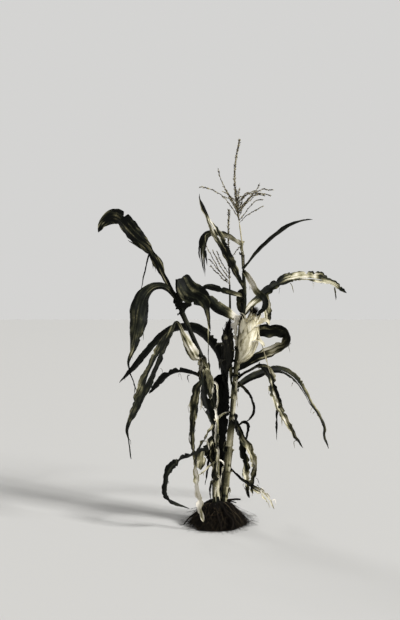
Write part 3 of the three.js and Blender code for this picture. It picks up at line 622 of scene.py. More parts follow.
def margin_point(line, share, side, rolls, widths):
    """A point on a blade at a share of its length, and at a share of its width to one side."""
    at = sampled(line, np.array([share * line["distance"][-1]]))
    roll = math.radians(spread(rolls, share))
    across = at["side"][0] * math.cos(roll) + at["upper"][0] * math.sin(roll)
    return at["place"][0] + across * side * spread(widths, share)


def slivers(line, rng, widths, rolls, dry, count):
    """Narrow strips torn from a blade's margins, hanging down and curling."""
    parts = []
    for _ in range(count):
        share = rng.uniform(0.25, 0.95)
        root = margin_point(line, share, rng.choice([-0.42, 0.42]), rolls, widths)
        long, width = rng.uniform(14, 46), rng.uniform(1.8, 4.5)
        legs = [[0.3 * long, rng.uniform(-60, 20)], [0.7 * long, rng.uniform(-110, -60)]]
        dryness = float(spread(dry, share)) + rng.uniform(-0.1, 0.3)
        parts += blade(spine(root, rng.uniform(0, 360), legs), rng, [width, width, 0.4 * width],
                       [rng.uniform(0, 180), 60], 20, [dryness, dryness], curl=50, ripple=0, crumple=0.3,
                       wobble=1.5, twist=40, rib=0, notches=0)
    return parts


def spring(stalk, height, heading):
    """Where a leaf or ear springs from its stalk at a height, part way out from the centre."""
    z = stalk["line"]["place"][:, 2]
    centre = [np.interp(height, z, stalk["line"]["place"][:, k]) for k in range(3)]
    share = np.interp(height, z, stalk["line"]["distance"]) / stalk["length"]
    radius = spread(stalk["radii"], share)
    out = SPRING_OUT * radius
    return [centre[0] + math.cos(math.radians(heading)) * out,
            centre[1] + math.sin(math.radians(heading)) * out, centre[2]], radius


def sheath(stalk, top, heading, rng, dry, low=None, span=125, flare=4, painted_side_shade=0.1):
    """A leaf's sheath: a sheet wrapped round the stalk from the joint below up to the leaf, its
    free edges lifted and its torn mouth spreading toward the leaf. The right side is painted
    paler and the left darker, as painted light and shade."""
    joints = [joint for joint in stalk["joints"] if joint < top - 25]
    low = low or (joints[-1] if joints else top - 60)
    z = np.linspace(low, top + 3, max(6, int((top - low) / ROW)))
    line = stalk["line"]
    s = np.interp(z, line["place"][:, 2], line["distance"])
    at = sampled(line, s)
    share = ((z - low) / (top - low))[:, None]
    t = np.linspace(-1, 1, SHEATH_COLUMNS)[None]
    up = z[:, None] + 0 * t
    reach = np.radians(span) * (1 - 0.12 * share ** 3) * (1 + 0.06 * wander(rng, z, 22)[:, None])
    theta = math.radians(heading) + reach * t
    radius = spread(stalk["radii"], s / stalk["length"])[:, None]
    radius = radius * (1 + RING_SWELL * (share < 0.04)) + SHEATH_GAP
    radius = radius + flare * share ** 7 * (1 - 0.6 * t ** 2) + 2.2 * np.abs(t) ** 8 * (0.4 + share)
    radius = radius + 0.9 * VEIN_DEPTH * (-1.0) ** np.arange(SHEATH_COLUMNS)[None]
    radius = radius + 0.5 * wander_2d(rng, up, theta * 12, 20, 8)
    tears = 9 + 9 * wander(rng, t[0] * 30, 5, False)
    height = z[:, None] - share ** 5 * (8 * np.abs(t) ** 2 + tears[None])
    grid = at["place"][:, None] + np.stack([np.cos(theta) * radius, np.sin(theta) * radius, 0 * theta], 2)
    grid[..., 2] += height - z[:, None]
    dryness = spread(dry, share) + 0.1 * wander_2d(rng, up, theta * 14, 90, 3)
    dryness = dryness + 0.08 * wander_2d(rng, up, theta * 14, 30, 12) + 0.1 * np.abs(t) ** 6
    # Painted light and shade: the right side of the sheath paler, the left darker.
    dryness = dryness + painted_side_shade * np.cos(theta)
    return toned_sheet(grid[:, ::-1], dryness[:, ::-1], rng)


def leaf(name, on, at, heading, legs, widths, rolls, fold, dry, slot="dark_leaf", strips=(), torn=None,
         wrap=0.1, **changes):
    """One leaf with its sheath, torn strips and slivers. It springs from its stalk at a height
    and a heading and follows its legs of (length, climb, turn). Its widths, rolls and dryness are
    spread evenly from foot to tip, and fold is how far its halves are folded up at the rib. A
    strip is (share of the length, side, widths, heading, legs, dryness), wrap is how much drier
    the sheath is than the stalk, and changes go to the look."""
    rng = np.random.default_rng(sum(map(ord, name)) * 7 + len(legs))
    start, radius = spring(STALKS[on], at, heading)
    line = spine(start, heading, legs)
    parts = blade(line, rng, widths, rolls, fold, dry, torn, radius, **changes)
    if wrap is not None:
        share = (at - FOOT_HEIGHT) / STALKS[on]["length"]
        lower = float(spread(STALKS[on]["dry"], share)) + wrap
        parts.append(sheath(STALKS[on], at, heading, rng, [lower, lower, (lower + dry[0]) / 2, dry[0]]))
    for place, side, strip_widths, strip_heading, strip_legs, strip_dry in strips:
        strip_line = spine(margin_point(line, place, side / 2, rolls, widths), strip_heading, strip_legs)
        strip_look = withered(pinches=0, notches=2, under=-0.15, crumple=1.6, twist=24, ragged=0.2)
        parts += blade(strip_line, rng, strip_widths, [spread(rolls, place), 70, 40], 10, strip_dry,
                       **strip_look)
    parts += slivers(line, rng, widths, rolls, dry, changes.get("slivers", LOOK["slivers"]))
    nodes = [n for n in (name, name + "_rise", name + "_fall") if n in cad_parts]
    return add_piece(f"{name}_blade", parts, plant_skin, nodes)


# The main stalk's leaves, from the top down. The upper ones are still stiff enough to stand, and
# the rest have gone limp and hang by their sheaths.
leaf("flag_leaf", MAIN, 1080, 160, [[58, 31], [54, 19], [32, -1], [28, -50], [48, -82], [104, -96]],
     [16, 28, 32, 28, 34, 32, 20, 4], [40, 50, 55, 60, 70, 60], 24, [0.6, 0.7, 0.4, 0.12, 0.12, 0.06, 0.1],
     "faded_leaf", strips=[(0.66, -0.6, [9, 9, 6, 3], 165, [[58, -97]], [0.1, 0.2])],
     torn=(0.6, 1, [-0.4, 0.1, 0.5], 4), crumple=2, ragged=0.12, streak=0.26, edge=-0.3)
leaf("upper_left_leaf", MAIN, 914, 204, [[248, 60], [78, 64], [84, 69]],
     [20, 26, 34, 44, 54, 46, 16, 17, 6], [20, 26, 32, 36, 44, 80, 120], 24,
     [0.1, 0.06, 0.05, 0.1, 0.26, 0.42, 0.4, 0.08, 0.06], wrap=0.0,
     torn=(0.5, 0.8, [-0.3, 0.3], 3), crumple=3, ragged=0.2, slivers=5, streak=0.5, shrink=0.26)
leaf("right_blade", MAIN, 992, -25, [[82, 49], [84, 43], [72, 35], [56, 24], [50, 10]],
     [14, 24, 28, 30, 28, 22, 5], [24, 26, 30, 25], 34, [0.12, 0.12, 0.14, 0.14, 0.16],
     ripple=0.08, notches=1, slivers=0)
leaf("right_short_leaf", MAIN, 984, -62, [[40, -22], [98, -37], [46, -48, 52], [62, -130, 52]],
     [12, 24, 28, 26, 24, 8], [50, 70, 70, 90], 20, [0.3, 0.85, 0.9, 0.14, 0.05, 0.05], "faded_leaf",
     wrap=None, crumple=1.6, lean=0.1)
leaf("right_inner_leaf", MAIN, 976, 48, [[34, -46], [50, -54], [26, -42]],
     [12, 22, 24, 18, 6], [40, 70, 80], 18, [0.06, 0.08, 0.1], wrap=None, crumple=1.6)
leaf("inner_flap", MAIN, 905, 140, [[14, -10], [74, -88]],
     [14, 30, 32, 26, 12], [45, 45], 14, [0.1, 0.15, 0.4, 0.1], wrap=None, crumple=1.8, lean=0.1)
leaf("right_papery_leaf", MAIN, 818, 30,
     [[42, 48], [120, 33], [60, 27], [50, 12], [74, -1], [74, -12], [72, -22], [48, -34]],
     [18, 30, 38, 40, 44, 46, 44, 34, 6], [60, 52, 48, 50, 62, 70, 70], 20,
     [0.75, 0.6, 0.1, 0.12, 0.55, 0.72, 0.7, 0.6, 0.15], "straw_leaf",
     strips=[(0.195, -0.5, [26, 38, 42, 30], 10, [[34, -70], [76, -86]], [0.6, 0.7, 0.5, 0.04]),
             (0.23, -0.5, [14, 18, 18, 12], 12, [[100, -84]], [0.4, 0.4, 0.05]),
             (0.88, -0.5, [5, 7, 6, 3], 10, [[52, -84]], [0.6, 0.1])],
     torn=(0.5, 0.9, [-0.2], 3), crumple=3.4, ragged=0.17, notches=7, slivers=8, streak=0.36,
     edge=-0.15, shrink=0.1, curl=30)
leaf("folded_leaf", MAIN, 602, -10,
     [[54, 36], [115, 26], [40, 30], [30, 54], [26, 112], [32, 165], [46, 181], [40, 184]],
     [20, 34, 44, 50, 54, 58, 60, 50], [55, 60, 52, 42, 44, 64, 74], 16,
     [0.06, 0.04, 0.3, 0.64, 0.2, 0.05, 0.04, 0.06], crumple=3, streak=0.38, edge=0.02,
     slivers=2, ragged=0.06)
leaf("hanging_right_leaf", MAIN, 564, -28,
     [[60, 39], [47, 28], [30, 3], [34, -50], [104, -74], [56, -62], [108, -56], [36, -54]],
     [16, 20, 26, 40, 36, 30, 24, 16, 5], [30, 35, 50, 60, 50, 70, 50], 22,
     [0.05, 0.04, 0.1, 0.34, 0.26, 0.4, 0.72, 0.4, 0.1], "faded_leaf",
     strips=[(0.62, 0.7, [12, 16, 10, 3, 16, 12, 3, 2], 190, [[36, -60], [104, -90]],
              [0.3, 0.1, 0.06, 0.3])],
     **withered(twist=15, ragged=0.14, curl=34, under=-0.2, pinches=1, crumple=3.4, streak=0.5))
# Its strong lean is painted light and shade: a lit outer band and a shaded lower one.
leaf("right_arch_leaf", MAIN, 534, 25,
     [[84, 31], [100, 8], [46, -14], [50, -35], [190, -54], [50, -62], [42, -93], [56, -60]],
     [20, 34, 36, 42, 38, 34, 30, 32, 5], [45, 40, 55, 45, 35, 60], 22,
     [0.0, 0.0, 0.02, 0.3, 0.34, 0.26, 0.05, 0.04], torn=(0.34, 0.7, [0.1], 3),
     crumple=1.8, lean=0.32, notches=3, slivers=6, edge=0.0, ragged=0.06, streak=0.18)
leaf("thin_broken_leaf", MAIN, 560, -56, [[76, -16], [50, -42], [46, -74], [62, -142]],
     [8, 12, 13, 12, 4], [50, 80, 60], 18, [0.3, 0.3, 0.08, 0.06, 0.06], wrap=None, ragged=0.2,
     notches=4)
leaf("left_upper_cross_leaf", MAIN, 884, 186, [[98, 19], [52, 11], [24, -50]],
     [18, 30, 34, 30, 14], [45, 55, 60], 18, [0.24, 0.34, 0.28, 0.08, 0.04], "faded_leaf", wrap=0.0,
     streak=0.3, crumple=1.6, lean=-0.1)
leaf("left_lower_cross_leaf", MAIN, 790, 203, [[44, 30], [86, 33], [44, 46]],
     [24, 40, 50, 48, 30], [55, 60, 60], 20, [0.85, 0.8, 0.16, 0.06, 0.05, 0.05], wrap=0.6,
     lean=0.3, crumple=1.6,
     strips=[(0.93, 0, [6, 5, 4, 3], 200, [[90, -88], [100, -91], [72, -97]], [0.08, 0.5, 0.7, 0.1])])
leaf("pale_fallen_strip", MAIN, 440, 190,
     [[40, -12], [190, -38, 44], [40, -74, 46], [90, -99, 46], [150, -103, 46]],
     [16, 26, 24, 18, 22, 26, 28, 10], [0, 50, 30, 0, -10], 22, [0.95, 0.9, 0.5, 0.4, 0.9, 0.95, 0.9],
     "straw_leaf", wrap=None, **withered(twist=30, ragged=0.2, curl=40, pinches=2))
leaf("pale_kinked_strip", MAIN, 226, 212, [[40, 56], [30, -24], [84, -27]],
     [6, 9, 10, 8, 4], [40, 90, 60], 20, [0.8, 0.8, 0.5], "straw_leaf", wrap=None,
     **withered(pinches=0, slivers=3, twist=20, curl=30, under=0))
leaf("lower_right_leaf", MAIN, 420, -32,
     [[54, -60], [51, -59], [45, -54], [52, -70], [80, -100], [30, -79]],
     [16, 26, 30, 28, 28, 24, 8], [20, 80, 40, 100, 60], 28, [0.05, 0.05, 0.5, 0.6, 0.1, 0.3],
     "faded_leaf", strips=[(0.12, 0, [12, 12, 10, 7], -28, [[46, 42], [70, -104]], [0.05, 0.06])],
     **withered(twist=26, ragged=0.22, curl=36, pinches=1))
leaf("lower_right_inner_leaf", MAIN, 384, 40,
     [[34, -30], [50, -70], [56, -73], [104, -82], [42, -97], [34, -62]],
     [14, 26, 34, 34, 26, 8], [60, 110, 130, 110], 28, [0.05, 0.05, 0.1, 0.7, 0.1], wrap=None,
     **withered(twist=26, ragged=0.22, curl=36, pinches=1))
leaf("lower_right_straggler", MAIN, 226, 20, [[60, -48], [54, -36], [48, -27], [48, -44], [60, -62]],
     [8, 9, 14, 26, 34, 30, 12], [40, 90, 100, 90, 100], 24, [0.06, 0.06, 0.15, 0.7, 0.85, 0.7],
     "faded_leaf", wrap=None, torn=(0.55, 1, [-0.2, 0.4], 6), **withered(twist=30, ragged=0.24, pinches=1))

# The left stalk's leaves, with the widest blades of the plant. They have bent or creased near the
# foot, where the midrib gave way.
leaf("far_left_leaf", LEFT, 880, 150,
     [[112, 57], [88, 58], [42, 46], [98, 42], [43, 40], [44, 26], [48, -20], [52, -60]],
     [20, 24, 26, 46, 24, 58, 84, 90, 76, 46, 8], [60, 84, 98, 84, 76, 60], 12,
     [0.05, 0.05, 0.14, 0.06, 0.3, 0.16, 0.26, 0.2, 0.3],
     torn=(0.42, 0.95, [-0.64], 6), shrink=0.1,
     strips=[(0.4, -0.4, [6, 5, 4, 3], 175, [[50, -74], [112, -77]], [0.08, 0.1]),
             (0.41, -0.7, [10, 9, 8, 5], 152, [[100, 27]], [0.1, 0.08])],
     crumple=2.4, streak=0.36, notches=1, slivers=3)
leaf("left_drooping_leaf", LEFT, 866, 206,
     [[34, 62], [32, 48], [35, 20], [38, -16], [44, -48], [52, -71],
      [114, -81], [86, -71], [50, -99], [74, -116]],
     [16, 22, 36, 60, 76, 68, 44, 18, 6, 5, 4], [40, 60, 90, 110, 105, 80, 60], 16,
     [0.04, 0.04, 0.05, 0.16, 0.22, 0.26, 0.1, 0.06], notches=1, ragged=0.04, streak=0.22,
     slivers=3, edge=-0.14, crumple=1.8, lean=0.1)
leaf("creased_leaf", LEFT, 842, -42, [[116, 94], [12, 20], [72, -56], [68, -16], [34, -62], [84, -82]],
     [26, 40, 52, 58, 58, 66, 84, 92, 84, 62, 24, 16, 10, 4], [10, 6, 46, 54, 50], 8,
     [0.04, 0.03, 0.06, 0.3, 0.12, 0.05, 0.1, 0.06], curl=6, streak=0.3, crumple=1.2,
     ripple=0.03, strips=[(0.56, -0.5, [40, 46, 34, 10], 170, [[26, -50], [30, -84]], [0.05, 0.08])])
# Its lean is painted light and shade, a gradient from the shaded side of its cone to the lit side.
leaf("broken_leaf", LEFT, 650, 202,
     [[20, 4], [50, 61], [60, 63], [50, 64], [8, 0], [213, -63], [208, -64], [26, -72], [108, -99]],
     [36, 46, 42, 30, 14, 12, 30, 50, 64, 70, 72, 72, 68, 58, 46, 38, 30, 18, 7, 5, 4],
     [66, 66, 62, 70, 60, 60], 14, [0.5, 0.66, 0.12, 0.1, 0.16, 0.1, 0.14, 0.06, 0.06],
     wrap=0.2, lean=0.14, torn=(0.42, 0.6, [0.12], 2), shrink=0.36,
     notches=3, ragged=0.08, crumple=2.2, slivers=5, streak=0.3, curl=14)
leaf("left_low_leaf", LEFT, 542, 150, [[52, 42], [38, 20], [58, 4], [44, -20], [52, -37], [78, -43]],
     [22, 28, 30, 34, 34, 12], [50, 50, 40, 50], 24, [0.05, 0.05, 0.04, 0.05], ragged=0.16,
     notches=4, slivers=5)
leaf("hanging_left_leaf", LEFT, 586, 222, [[48, -42], [44, -74, -30], [168, -85, -40], [152, -97, -40]],
     [14, 34, 40, 30, 20, 15, 12, 5], [60, 80, 70, 90, 60], 20, [0.14, 0.28, 0.36, 0.2, 0.1, 0.08],
     "faded_leaf",
     strips=[(0.46, -0.4, [7, 5, 4, 4], 185, [[52, -66], [26, -88], [50, -116]], [0.3, 0.08])],
     crumple=2.2, ragged=0.14, streak=0.36, notches=4, slivers=4, curl=40)
leaf("left_loop_leaf", LEFT, 305, 212,
     [[48, -4], [112, -11], [42, -30], [36, -54], [82, -90], [32, -144], [92, -151]],
     [18, 22, 26, 26, 40, 20, 22, 20, 16, 5], [30, 50, 60, 80, 60, 40], 26, [0.04, 0.04, 0.03, 0.05],
     ragged=0.25, curl=50, notches=5, slivers=4, torn=(0.84, 1, [0.1], 6), pinches=2, wobble=4,
     strips=[(0.12, 0, [36, 50, 46, 24], 180, [[74, -86]], [0.6, 0.75, 0.5])])
leaf("inner_left_leaf", LEFT, 616, -106, [[34, -24], [78, -82, 34], [124, -69, 76]],
     [12, 22, 34, 36, 14], [10, 30, 66], 16, [0.08, 0.06, 0.08, 0.05], wrap=None,
     ragged=0.2, crumple=2.4, streak=0.2, notches=5, slivers=4, curl=45)

# The centre stalk's leaves, behind the others: one still arches over to the left, and a broad one
# has broken off and hangs in front of the stalk, painted near black as shade, since it hangs in
# the shadow of the other stalks.
leaf("left_long_leaf", CENTRE, 526, 150,
     [[105, 84], [42, 66], [54, 49], [50, 35], [48, 16], [46, -1],
      [44, -16], [60, -31], [70, -41], [125, -50], [86, -39]],
     [20, 38, 48, 50, 44, 38, 34, 34, 28, 4], [84, 90, 80, 54, 40, 40, 30], 20,
     [0.06, 0.08, 0.1, 0.06, 0.05, 0.08, 0.05], lean=0.06, slivers=4, notches=3)
# Its near-black dryness is painted shade.
leaf("centre_hanging_leaf", CENTRE, 540, 250, [[14, -6, -70], [11, -56], [152, -88], [116, -91]],
     [44, 72, 78, 70, 60, 50, 34], [0, 0, 6, 0], 10, [0.03, 0.02, 0.03, 0.02], wrap=0.0,
     ragged=0.14, crumple=2.4, notches=4, slivers=5, curl=30, streak=0.08, edge=0.02)

# Scraps: what is left of old sheaths and blades, dry paper torn along its veins. They cling to
# the joints, mostly low on the stalks, and curl as they hang.
# (stalk, height, heading, length, width, dryness)
SCRAPS = [
    (LEFT, 420, -80, 120, 9, 0.9), (LEFT, 300, -70, 110, 10, 0.75),
    (LEFT, 250, 170, 120, 9, 0.06), (LEFT, 240, -110, 130, 8, 0.06),
    (LEFT, 200, -60, 110, 7, 0.85), (LEFT, 170, 200, 90, 8, 0.3),
    (LEFT, 560, -30, 150, 8, 0.92), (LEFT, 552, 222, 130, 13, 0.92),
    (LEFT, 150, -90, 80, 7, 0.7), (LEFT, 330, 220, 90, 14, 0.4),
    (CENTRE, 420, 215, 90, 9, 0.1), (CENTRE, 300, 200, 110, 8, 0.06),
    (CENTRE, 250, 240, 90, 7, 0.6), (MAIN, 500, 200, 90, 7, 0.08),
    (MAIN, 430, -60, 80, 12, 0.08), (MAIN, 426, 0, 60, 14, 0.06),
    (MAIN, 400, 20, 100, 9, 0.1), (MAIN, 320, 190, 70, 8, 0.3),
    (MAIN, 560, -80, 120, 8, 0.9), (MAIN, 610, 200, 110, 9, 0.2),
    (MAIN, 230, 200, 80, 7, 0.9), (MAIN, 150, -20, 50, 6, 0.2),
    (LEFT, 322, 214, 84, 40, 0.3), (LEFT, 300, 196, 70, 28, 0.42),
    (LEFT, 270, 228, 66, 16, 0.1), (LEFT, 455, -72, 150, 11, 0.95),
    (LEFT, 585, -48, 120, 12, 0.75), (LEFT, 600, 200, 90, 12, 0.1),
    (MAIN, 880, 205, 50, 14, 0.1), (MAIN, 640, 190, 110, 14, 0.06),
    (MAIN, 780, -80, 70, 12, 0.06), (MAIN, 745, -40, 60, 16, 0.9),
    (MAIN, 730, 215, 60, 14, 0.8), (CENTRE, 560, 220, 120, 14, 0.05),
    (LEFT, 640, 225, 80, 22, 0.65), (LEFT, 634, 260, 100, 16, 0.85),
    (LEFT, 620, 200, 70, 20, 0.3), (LEFT, 655, 300, 60, 16, 0.05),
    (MAIN, 806, 205, 100, 30, 0.9), (MAIN, 786, 250, 70, 18, 0.8),
]
# Sheaths whose leaves have gone: (stalk, top, foot, heading, how far they wrap round, dryness)
BARE_SHEATHS = [
    (MAIN, 308, 227, 120, 150, 0.5), (MAIN, 224, 152, 300, 160, 0.44),
    (MAIN, 148, 106, 90, 140, 0.34), (MAIN, 700, 612, 200, 150, 0.4),
    (MAIN, 1060, 996, 160, 150, 0.2), (LEFT, 300, 192, 200, 160, 0.25),
    (LEFT, 188, 117, 20, 150, 0.6), (LEFT, 420, 310, 150, 140, 0.2),
    (CENTRE, 415, 302, 260, 160, 0.04), (CENTRE, 298, 202, 240, 160, 0.05),
    (CENTRE, 198, 122, 250, 160, 0.06), (CENTRE, 700, 600, 210, 150, 0.2),
]
BARE_FLARE = 6
rng = np.random.default_rng(91)
scraps = []
for on, height, heading, long, width, dryness in SCRAPS:
    root, radius = spring(STALKS[on], height, heading)
    legs = [[0.16 * long, rng.uniform(-20, 50)], [0.5 * long, rng.uniform(-100, -76)],
            [0.34 * long, rng.uniform(-112, -70)]]
    scraps += blade(spine(root, heading, legs), rng, [width, width * 1.3, width, 0.3 * width],
                    [heading + 90 + rng.uniform(-45, 45) for _ in range(3)], 20,
                    [dryness, dryness, dryness - 0.2],
                    **withered(pinches=1, rib=0, ragged=0.24, twist=35))
for on, top, low, heading, span, dryness in BARE_SHEATHS:
    levels = [dryness, dryness + 0.05, dryness - 0.05]
    # The last argument paints light and shade on the sheath's sides, more on the drier ones.
    scraps.append(sheath(STALKS[on], top, heading, rng, levels, low, span, BARE_FLARE, 0.4 * dryness))
add_piece("torn_sheaths", scraps, plant_skin, [])

# Ears: a cob wrapped tight in husks on a short shank. Each husk is a ribbed papery sheet, wide at
# its foot and drawn to a point. The main ear's have dried nearly white and gape at the tip, where
# the matted silk hangs out. The others are smaller, one black and one grey.
LOOSE_DRYNESS = [0.8, 0.7, 0.4]
# An ear's loose lists the husks that have come away: (share up the ear, heading, widths, legs,
# and dryness if it isn't LOOSE_DRYNESS).
EARS = {
    "main_ear": dict(
        on=MAIN, at=630, heading=-62, legs=[[54, 34], [52, 76, 50], [70, 80, 62], [50, 84, 62]],
        radii=[7, 9, 23, 33, 36, 34, 29, 21, 10], squash=0.78, layers=13, silk=420, gape=15, creased=1.2,
        tones=["#6d664f", "#a39b7d", "#c4bc9f", "#dad3b9", "#e9e3cf", "#f2eee0"], slot="pale_husk",
        loose=[
            (0.5, 205, [34, 42, 38, 16], [[46, 84], [44, 98]]),
            (0.66, -14, [36, 46, 40, 12], [[34, 66], [30, 30], [16, -60]]),
            (0.74, 8, [26, 26, 20, 6], [[58, 70]]), (0.7, 190, [24, 24, 18, 5], [[54, 80]]),
            (0.46, -40, [30, 30, 22, 6], [[30, 40], [36, -40]]),
            (0.78, -30, [9, 9, 7, 3], [[60, -70], [130, -70]], [0.5, 0.05, 0.3]),
            (0.8, 150, [18, 18, 12, 3], [[40, 66], [16, 20]]),
            (0.86, -60, [20, 18, 12, 3], [[26, 50], [22, -10]]),
        ]),
    "centre_ear": dict(
        on=CENTRE, at=578, heading=-96, legs=[[34, 40], [60, 84, 40], [114, 90, 60]],
        radii=[6, 8, 18, 23, 24, 22, 17, 10], squash=0.85, layers=9, silk=160, gape=14, creased=2.6,
        tones=["#050504", "#0a0a07", "#11110c", "#1c1b14", "#2f2d22", "#6a6550"], slot="dark_husk",
        loose=[
            (0.78, 150, [18, 18, 14, 4], [[40, 74]]), (0.8, 20, [18, 18, 14, 4], [[36, 80]]),
            (0.7, 250, [16, 16, 12, 3], [[34, 60], [14, 0]]),
            (0.6, 205, [20, 22, 16, 5], [[24, 50], [26, -40]]),
            (0.5, 330, [20, 22, 14, 4], [[26, 40], [34, -60]]),
            (0.36, 230, [18, 20, 14, 4], [[20, 20], [40, -70]]),
            (0.86, 300, [14, 14, 9, 3], [[22, 70], [16, -20]]),
        ]),
    "left_ear": dict(
        on=LEFT, at=500, heading=-104, legs=[[20, 40], [56, 86, -54], [88, 77, -68]],
        radii=[5, 6, 11, 14, 14, 12, 9, 4], squash=0.9, layers=7, silk=0, gape=8, creased=2,
        tones=["#14140e", "#29281d", "#46432f", "#6b674d", "#949075", "#bdb89e"], slot="dark_husk",
        loose=[
            (0.82, 180, [12, 12, 9, 3], [[34, 70]]), (0.9, 120, [14, 15, 10, 3], [[20, 40], [34, -60]]),
            (0.7, 250, [14, 15, 10, 3], [[18, 30], [30, -70]]),
        ]),
}
HUSK_ROWS = 70
HUSK_COLUMNS = 31
HUSK_TURN = 2.4
HUSK_THICKNESS = 0.6
HUSK_SINK, HUSK_BUILD = 3.2, 3.4
HUSK_RIB = 0.35
SILK_STEPS = 12
# Husk paper is dry and matt with a faint sheen along its ribs. Dried silk is dark and hardly shines.
silk_skin = finish("dried_matted_silk", "#120e0a", 0.7, 1.4, 1, 0.1, shine=0.2)


def husk(ear, line, rng, layer):
    """One husk: wrapped most of the way round, its margins lifted and its point bent outward."""
    outer = layer / ear["layers"]
    length = line["distance"][-1]
    first = 0.03 + 0.08 * outer
    last = 1.1 - 0.42 * outer * rng.uniform(0.3, 1)
    s = np.linspace(first, last, HUSK_ROWS)
    share = (s - first) / (last - first)
    t = np.linspace(-1, 1, HUSK_COLUMNS)[None]
    spread_out = np.radians(rng.uniform(80, 118)) * np.clip((1 - share) * 2.1, 0, 1) ** 0.7
    theta = HUSK_TURN * layer + rng.uniform(0, 0.5) + spread_out[:, None] * t
    theta = theta + 0.1 * wander(rng, s * 200, 50)[:, None]
    at = sampled(line, np.minimum(s, 1) * length)
    reach = spread(ear["radii"], np.minimum(s, 1))[:, None] - HUSK_SINK + HUSK_BUILD * outer
    tip = np.clip((share - 0.72) / 0.28, 0, 1)[:, None]
    reach = reach + ear["gape"] * outer * tip ** 2 * rng.uniform(0.2, 1.3)
    reach = reach + HUSK_RIB * (-1.0) ** np.arange(HUSK_COLUMNS)[None] + 1.8 * np.abs(t) ** 8
    down, round_it = s[:, None] * length + 0 * t, theta * 24
    dents = 1.5 * wander_2d(rng, down, round_it, 24, 14)
    dents = dents + 0.9 * wander_2d(rng, down, round_it, 30, 8, False)
    reach = reach + ear["creased"] * dents
    beyond = np.maximum(s - 1, 0)[:, None] * length
    grid = round_line(at["place"] + at["along"] * beyond, at, theta, reach, ear["squash"])
    points, faces = sheet(grid[:, ::-1], HUSK_THICKNESS)
    shade = 0.62 - 0.1 * outer + 0.2 * wander_2d(rng, down, round_it, 90, 2.4)
    shade = shade + 0.18 * wander_2d(rng, down, round_it, 22, 9) - 0.22 * np.abs(t) ** 6
    shade = shade - 0.3 * (1 - share[:, None]) ** 6 - 0.2 * tip ** 3
    tones = toned(shade[1:, 1:], rng, len(ear["tones"])).ravel()
    return points, faces, [tones, tones, 1, 1, 1, 1]


def silk(tip, count, rng):
    """Dried silk: threads that well up out of the ear's mouth and hang over to the right."""
    t = np.linspace(0, 1, SILK_STEPS)[None]
    heading = rng.uniform(0, 2 * np.pi, (count, 1))
    out = rng.uniform(3, 20, (count, 1)) * t ** 1.3 + 2 * np.sin(7 * t + heading)
    bend = heading + rng.normal(0, 0.9, (count, 1)) * t
    rise, fall = rng.uniform(6, 26, (count, 1)), rng.uniform(0, 30, (count, 1))
    drag = rng.uniform(-4, 16, (count, 1)) * t ** 1.5
    paths = np.stack([tip[0] + np.cos(bend) * out + drag, tip[1] + np.sin(bend) * out * 0.8,
                      tip[2] - 10 + (rise + 10) * np.sin(t * 1.9) - fall * t ** 2.5], 2)
    points, faces = tubes(paths, rng.uniform(0.35, 0.75, (count, 1)) * (1 - 0.5 * t), 3)
    return points, faces, [0, 0]


for name, ear in EARS.items():
    rng = np.random.default_rng(len(name) * 977)
    start, _ = spring(STALKS[ear["on"]], ear["at"], ear["heading"])
    line = spine(start, ear["heading"], ear["legs"])
    husk_skin = tones_of(f"{name}_husk", ear["tones"], 0.75, 1.42, 2, 0.3, shine=0.3)
    parts = [husk(ear, line, rng, layer) for layer in range(ear["layers"])]
    for place, heading, widths, legs, *other in ear["loose"]:
        at = sampled(line, np.array([place * line["distance"][-1]]))["place"][0]
        reach = spread(ear["radii"], place) * 0.7
        aim = math.radians(heading)
        root = at + np.array([math.cos(aim) * reach, math.sin(aim) * reach * ear["squash"], 0])
        dryness = other[0] if other else LOOSE_DRYNESS
        for points, faces, tones in blade(spine(root, heading, legs), rng, widths, [0, 20], 14, dryness,
                                          curl=60, ripple=0.25, ragged=0.16, rib=0, wobble=2, twist=20):
            shades = [np.asarray(tone) * len(ear["tones"]) // PLANT_TONES for tone in tones]
            parts.append((points, faces, shades))
    add_piece(f"{name}_husks", parts, husk_skin, [name])
    if ear["silk"]:
        threads = silk(line["place"][-1], ear["silk"], rng)
        add_piece(f"{name}_silk", [threads], [silk_skin], [])

